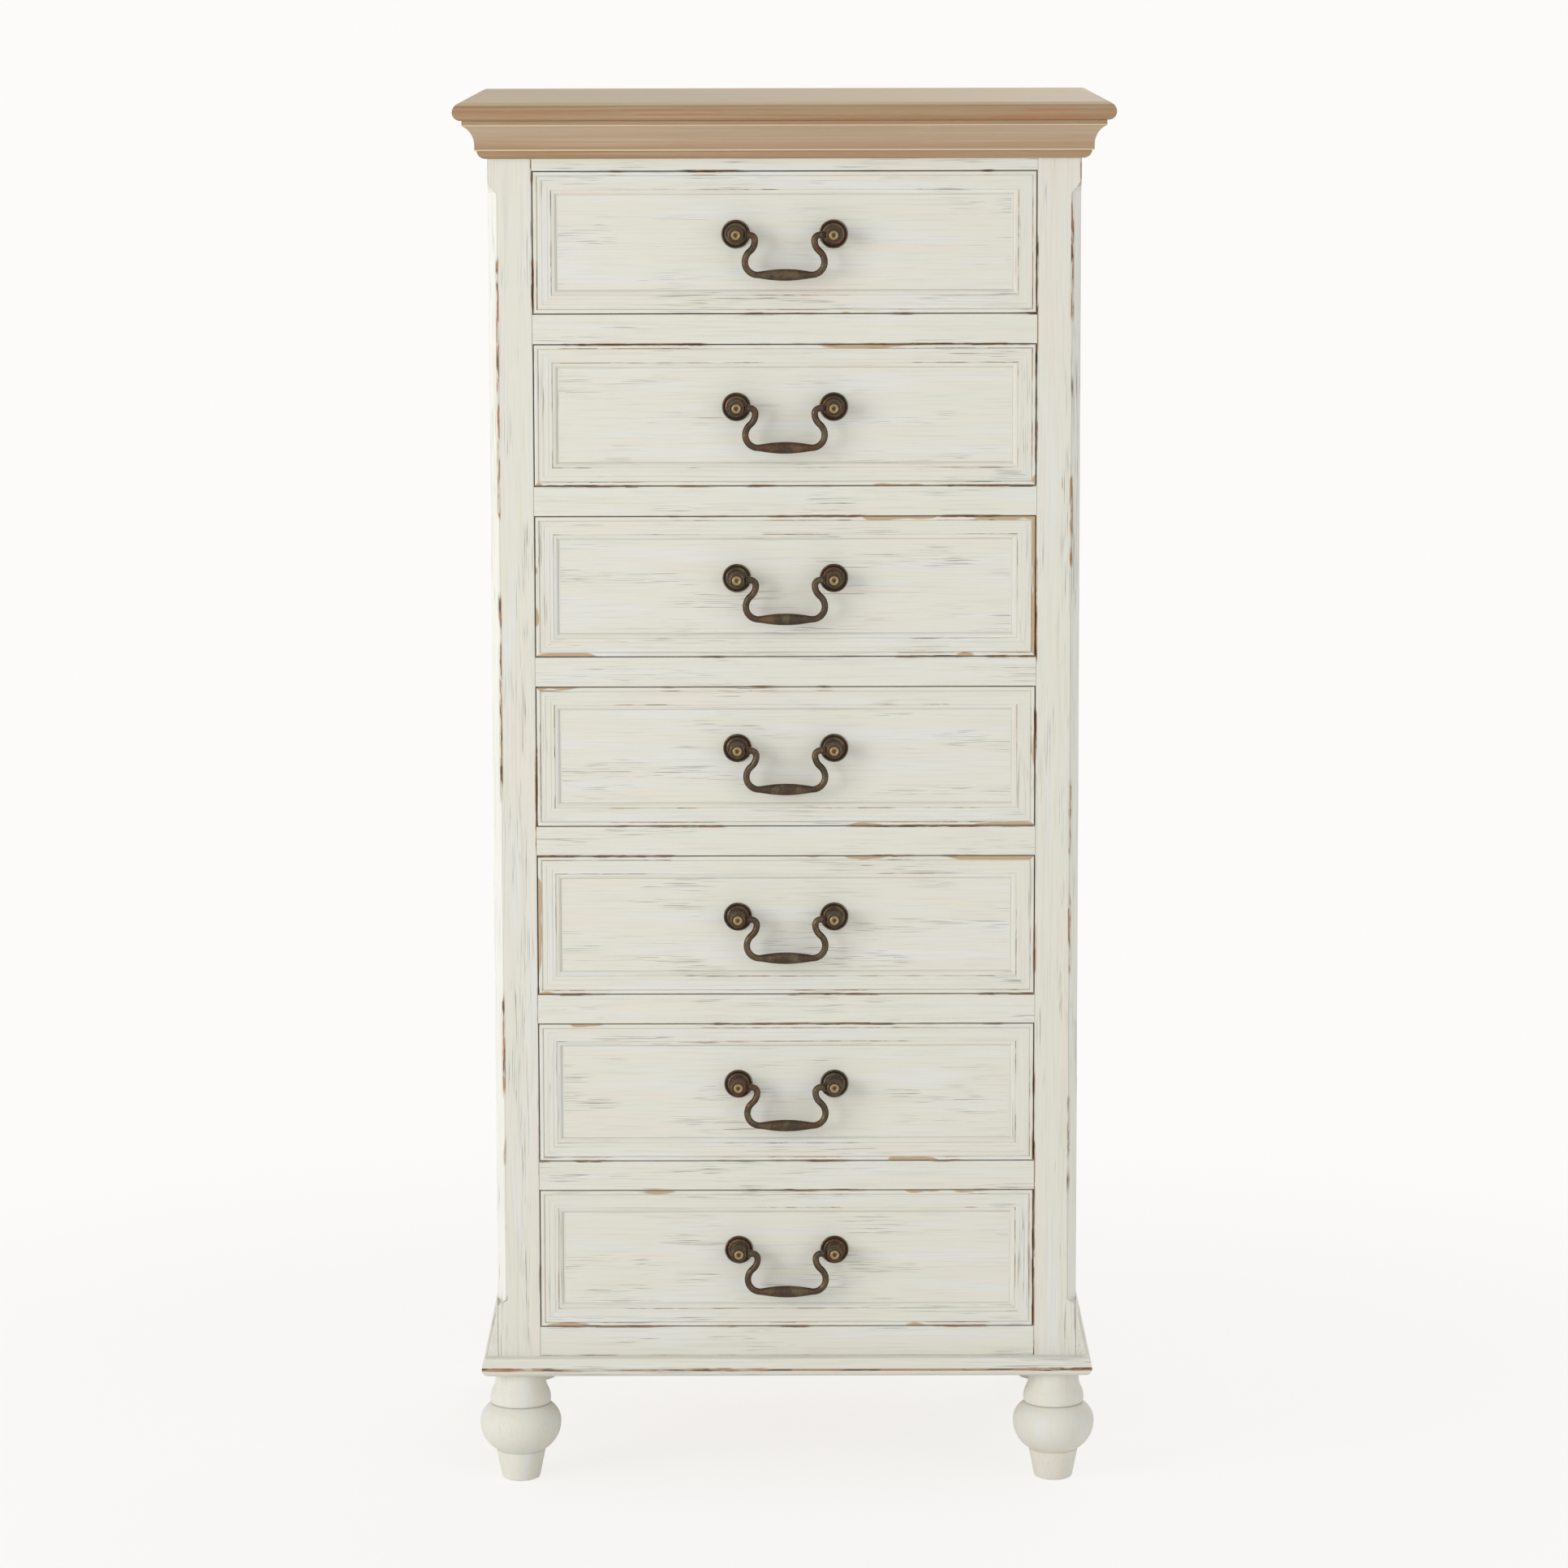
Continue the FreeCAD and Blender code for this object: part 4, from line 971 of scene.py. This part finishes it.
def make_drawer_fronts():
    """Moulded fronts, mitred at the corners: a small bead, a stepped frame and a roll down to the field."""
    for number in DRAWERS:
        node = f"drawer_front_{number}"
        low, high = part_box(node)
        shell = new_shell()
        rows = []
        for (inset, depth), arris, crease in front_outline():
            y = low.y + depth
            corners = [
                (low.x + inset, y, low.z + inset), (high.x - inset, y, low.z + inset),
                (high.x - inset, y, high.z - inset), (low.x + inset, y, high.z - inset),
            ]
            on_bead = inset < EDGE_BEAD and depth < 2 * EASING
            bared = 1 - INNER_BEAD_SPARED * inset / EDGE_BEAD if on_bead else 0.0
            rows.append(add_row(shell, corners, arris=arris, crease=crease, bared=bared))
        skin(shell, rows, rings=True, finish_of=lambda index: index % 2)
        add_piece(shell, node, "moulded", [PAINT["x"], PAINT["z"]], body=f"drawer_{number}")


def mount_outline():
    """A handle mount's outline, from the stud's tip behind the field at zero to the button in front."""
    def small_arc(*shape):
        return arc(*shape, step=SMALL_ARC_STEP)

    stud_end = -STUD_BEHIND_FIELD
    stud = [(STUD_RADIUS - STUD_TIP, stud_end), (STUD_RADIUS, stud_end + STUD_TIP), (STUD_RADIUS, 0.0)]
    dimple = [(BUTTON_DIMPLE, BUTTON_RISE + BUTTON_DIMPLE_RISE), (BUTTON_PIT, BUTTON_RISE + BUTTON_PIT)]
    return turned_outline(
        (stud, 0.0, 0.0),
        ([(ROSE_RADIUS, 0.0)], 0.0, 0.6),
        (small_arc((ROSE_RADIUS - ROSE_RIM, ROSE_THICKNESS - ROSE_RIM), ROSE_RIM, 0, 90), 0.6, 0.0),
        (small_arc((ROSE_HOLLOW, ROSE_THICKNESS + ROSE_HOLLOW_LIFT), ROSE_HOLLOW_ROUND, -45, -135), 0.0, 0.9),
        (small_arc((ROSE_RING, ROSE_RING_RISE - ROSE_RING_ROUND), ROSE_RING_ROUND, 50, 105), 0.5, 0.0),
        (small_arc((NECK_RADIUS + NECK_ROUND, ROSE_RING_RISE + NECK_ROUND), NECK_ROUND, -95, -180), 0.0, 0.6),
        (small_arc((NECK_RADIUS + FLARE_ROUND, FLARE_START), FLARE_ROUND, 180, 120), 0.0, 0.2),
        (small_arc((MOUNT_RADIUS - FLARE_ROUND, MOUNT_START), FLARE_ROUND, -45, 0), 0.2, 0.0),
        (small_arc((MOUNT_RADIUS - SHOULDER_ROUND, MOUNT_END), SHOULDER_ROUND, 0, 75), 0.3, 0.0),
        ([(BUTTON_GROOVE, BUTTON_RISE)], 0.0, 1.0),
        (small_arc((BUTTON_RADIUS, BUTTON_RISE), BUTTON_ROUND, 0, 165), 1.0, 0.0),
        (dimple, 0.2, 0.3),
    )


def mount_mesh():
    """One handle mount, turned about the Y axis with the drawer's field at y = 0, and its nut behind."""
    shell = new_shell()
    revolve(shell, mount_outline(), ROSE_SIDES, toward=(0, -1, 0))
    rear = FRONT_THICKNESS - FIELD_DEPTH
    low = Vector((-NUT_HALF_WIDTH, rear, -NUT_HALF_WIDTH))
    high = Vector((NUT_HALF_WIDTH, rear + NUT_THICKNESS, NUT_HALF_WIDTH))
    add_board(shell, low, high, "y")
    return make_mesh(shell, "rose", [BRASS])


def bail_line():
    """The bail's centre line about its pivot, from one pin to the other, with its girth and wear."""
    inner_face = HANDLE_SPACING / 2 - MOUNT_RADIUS
    shoulder = inner_face - COLLAR_START
    knuckle = shoulder - COLLAR_WIDTH
    pin = [
        (inner_face + PIN_DEPTH, PIN_RADIUS, 0.0, 0.0),
        (shoulder + COLLAR_STEP, PIN_RADIUS, 0.0, 1.0),
        (shoulder, COLLAR_RADIUS - COLLAR_EASING, 0.5, 0.0),
        (shoulder - COLLAR_EASING, COLLAR_RADIUS, 0.7, 0.0),
        (knuckle + COLLAR_EASING, COLLAR_RADIUS, 0.7, 0.0),
        (knuckle, KNUCKLE_RADIUS - KNUCKLE_EASING, 0.0, 1.0),
        (knuckle - KNUCKLE_RUN, KNUCKLE_RADIUS, 0.3, 0.0),
    ]
    line = [(x, 0.0, girth, arris, crease) for x, girth, arris, crease in pin]
    corner = GRIP_DROP - BELLY_DROP
    waist = ((HOOK_REACH + BELLY_REACH) / 2, -(BELLY_DROP + HOOK_RADIUS) / 2)
    grip_half = BELLY_REACH - corner
    hook = arc((HOOK_REACH + HOOK_RADIUS, -HOOK_RADIUS), HOOK_RADIUS, 90, 180)
    neck_high = arc_to_upright(waist, (HOOK_REACH, -HOOK_RADIUS))
    neck_low = arc_to_upright(waist, (BELLY_REACH, -BELLY_DROP))
    belly = arc((grip_half, -BELLY_DROP), corner, 0, -90)
    bends = hook + neck_high[::-1][1:] + neck_low[1:] + belly[1:]
    line += [(x, z, BAIL_RADIUS, BAIL_TOUCHED, 0.0) for x, z in bends]
    for step in range(1, GRIP_STEPS // 2 + 1):
        share = 1 - 2 * step / GRIP_STEPS
        swell = (1 - share * share) ** GRIP_FULLNESS
        girth = BAIL_RADIUS + (GRIP_RADIUS - BAIL_RADIUS) * swell
        line.append((grip_half * share, -GRIP_DROP, girth, BAIL_TOUCHED + GRIP_TOUCHED * swell, 0.0))
    return line + [(-x, *rest) for x, *rest in reversed(line[:-1])]


def make_handles():
    """Each drawer's two mounts and the bail that swings in them."""
    copies, bent_bar = copies_tree(), bent_bar_tree()
    pattern = add_object("mount_pattern", mount_mesh())
    across, rises, girth, arris, crease = zip(*bail_line())
    edges = [(index, index + 1) for index in range(len(across) - 1)]
    for number in DRAWERS:
        low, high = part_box(f"drawer_front_{number}")
        field_y = low.y + FIELD_DEPTH
        z = (low.z + high.z) / 2 + HANDLE_LIFT
        centres = [(side * HANDLE_SPACING / 2, field_y, z) for side in SIDES.values()]
        seed = point_mesh(f"mount_places_{number}", centres)
        mounts = grow(f"handle_mounts_{number}_turned", seed, copies, {"Part": pattern, "Finish": BRASS})
        set_in_frame(mounts, f"drawer_{number}", "aged_brass", f"handle_mounts_{number}")
        points = [(x, field_y - BAIL_STANDOFF, z + rise) for x, rise in zip(across, rises)]
        seed = point_mesh(f"bail_line_{number}", points, edges, girth=girth, arris=arris, crease=crease)
        bail = grow(f"bail_{number}_cast", seed, bent_bar, {"Sides": BAIL_SIDES, "Finish": BRASS})
        set_in_frame(bail, f"bail_{number}", "aged_brass", f"bail_{number}")
    bpy.data.objects.remove(pattern)


def nail_mesh():
    """A small domed nail head that lies on the XZ plane and faces +Y."""
    angles = [step * NAIL_DOME_STEP for step in range(NAIL_DOME_STEPS)]
    dome = [(NAIL_RADIUS * math.cos(angle), NAIL_PROUD * math.sin(angle)) for angle in angles]
    shell = new_shell()
    revolve(shell, turned_outline((dome, 0.0, 0.0)), NAIL_SIDES, toward=(0, 1, 0))
    return make_mesh(shell, "nail_head", [STEEL])


def make_nails():
    """The nails that hold the back panel in its rebates."""
    low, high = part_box("back_panel")
    inner_low, inner_high = low.z + NAIL_EDGE_INSET, high.z - NAIL_EDGE_INSET
    height, width = inner_high - inner_low, high.x - low.x
    rises, spans = round(height / NAIL_SPACING), round(width / NAIL_SPACING)
    points = []
    for step in range(rises + 1):
        z = inner_low + height * step / rises
        points += [(side * (high.x - NAIL_EDGE_INSET), high.y, z) for side in SIDES.values()]
    for step in range(1, spans):
        x = low.x + width * step / spans
        points += [(x, high.y, z) for z in (inner_low, inner_high)]
    nail = add_object("nail_pattern", nail_mesh())
    seed = point_mesh("nail_places", points)
    nails = grow("back_panel_nails", seed, copies_tree(), {"Part": nail, "Finish": STEEL})
    bpy.data.objects.remove(nail)
    set_in_frame(nails, "carcass", "bolt_steel")


def finish_frame_nodes():
    """Materials for the frame's own nodes that stay as they are."""
    finishes = {
        "back_panel": PINE["z"], "back_rails": PINE["x"], "bottom_board": PINE["x"],
        "drawer_runners": PINE["y"], "drawer_stops": PINE["x"], "foot_bolts": STEEL,
    }
    finishes |= {f"side_panel_{place}": PAINT["z"] for place in SIDES}
    finishes |= {f"drawer_box_{number}": PINE["y"] for number in DRAWERS}
    for node, finish in finishes.items():
        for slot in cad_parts[node].material_slots:
            slot.material = finish


def seen_directly(tree):
    """One for rays that show the background to the eye, straight, mirrored or through glass."""
    rays = add_node(tree, "ShaderNodeLightPath").outputs
    seen = rays["Is Camera Ray"]
    for kind in ("Is Glossy Ray", "Is Transmission Ray"):
        seen = add_node(tree, "ShaderNodeMath", {0: seen, 1: rays[kind]}, operation="MAXIMUM").outputs[0]
    return seen


def make_world():
    """A pale sky that lights the chest from all round, and the plain background that the eye sees."""
    world = bpy.data.worlds.new("pale_studio")
    bpy.context.scene.world = world
    world.use_nodes = True
    tree = world.node_tree
    tree.nodes.clear()
    lighting = add_node(tree, "ShaderNodeBackground", {"Color": colour("FFFFFF"), "Strength": SKY_STRENGTH})
    shown = add_node(tree, "ShaderNodeBackground", {"Color": colour(BACKGROUND), "Strength": 1.0})
    inputs = {0: seen_directly(tree), 1: lighting.outputs[0], 2: shown.outputs[0]}
    mixed = add_node(tree, "ShaderNodeMixShader", inputs)
    add_node(tree, "ShaderNodeOutputWorld", {"Surface": mixed.outputs[0]})


def make_lamps():
    """Soft square lamps that point at the chest and aren't seen themselves."""
    for name, (place, target_height, width, power) in LAMPS.items():
        lamp = bpy.data.lights.new(name, "AREA")
        lamp.shape = "SQUARE"
        lamp.size = width
        lamp.energy = power
        holder = add_object(name, lamp)
        holder.location = place
        way = Vector((0, 0, target_height)) - Vector(place)
        holder.rotation_euler = way.to_track_quat("-Z", "Y").to_euler()
        holder.visible_camera = False


def make_floor():
    """A pale matt floor. The eye sees the chest's soft shadow on it, and plain background further off."""
    settings = {"Base Color": colour(BACKGROUND), "Roughness": 0.9, "Specular IOR Level": 0.1}
    material, tree, surface = new_material("pale_floor", settings)
    place = add_node(tree, "ShaderNodeTexCoord").outputs["Object"]
    far = add_node(tree, "ShaderNodeVectorMath", {0: place}, operation="LENGTH").outputs["Value"]
    inputs = {"Value": far, "From Min": FLOOR_FADE_END, "From Max": FLOOR_FADE_START}
    inputs["To Max"] = FLOOR_SHADOW_SHARE
    near = add_node(tree, "ShaderNodeMapRange", inputs, interpolation_type="SMOOTHSTEP").outputs[0]
    glow = add_node(tree, "ShaderNodeEmission", {"Color": colour(BACKGROUND), "Strength": 1.0})
    inputs = {0: near, 1: glow.outputs[0], 2: surface.outputs[0]}
    seen = add_node(tree, "ShaderNodeMixShader", inputs)
    inputs = {0: seen_directly(tree), 1: surface.outputs[0], 2: seen.outputs[0]}
    mixed = add_node(tree, "ShaderNodeMixShader", inputs)
    tree.links.new(mixed.outputs[0], tree.nodes["Material Output"].inputs["Surface"])
    shell = bmesh.new()
    bmesh.ops.create_circle(shell, cap_ends=True, segments=FLOOR_SIDES, radius=FLOOR_RADIUS)
    mesh = bpy.data.meshes.new("floor")
    shell.to_mesh(mesh)
    shell.free()
    mesh.materials.append(material)
    add_object("floor", mesh)


def make_camera():
    """The camera of the photograph."""
    lens = bpy.data.cameras.new("photograph")
    lens.lens = LENS_MM
    lens.sensor_width = SENSOR_MM
    lens.shift_y = FRAME_SHIFT
    camera = add_object("photograph", lens)
    camera.location = EYE
    camera.rotation_euler = (math.pi / 2 - PITCH_DOWN, ROLL, 0.0)
    bpy.context.scene.camera = camera


PAINT = {grain: chalk_paint(f"chalk_paint_grain_{grain}", grain) for grain in "xyz"}
FOOT_PAINT = chalk_paint("chalk_paint_turned", "z", FOOT_WORN)
LIMED = {grain: limed_wood(f"limed_wood_grain_{grain}", grain, MOULDING_LIME) for grain in "xy"}
LIMED_TOP = limed_wood("limed_wood_top", "x", TOP_LIME)
PINE = {grain: bare_pine(f"bare_pine_grain_{grain}", grain) for grain in "xyz"}
BRASS = aged_brass("aged_brass_rubbed")
STEEL = plain_steel("drawn_steel")

make_camera()
make_world()
make_lamps()
make_floor()
make_top()
make_mouldings()
make_front_posts()
make_rear_posts()
make_rails()
make_side_coves()
make_feet()
make_drawer_fronts()
make_handles()
make_nails()
finish_frame_nodes()

bpy.context.scene.view_settings.view_transform = "Standard"
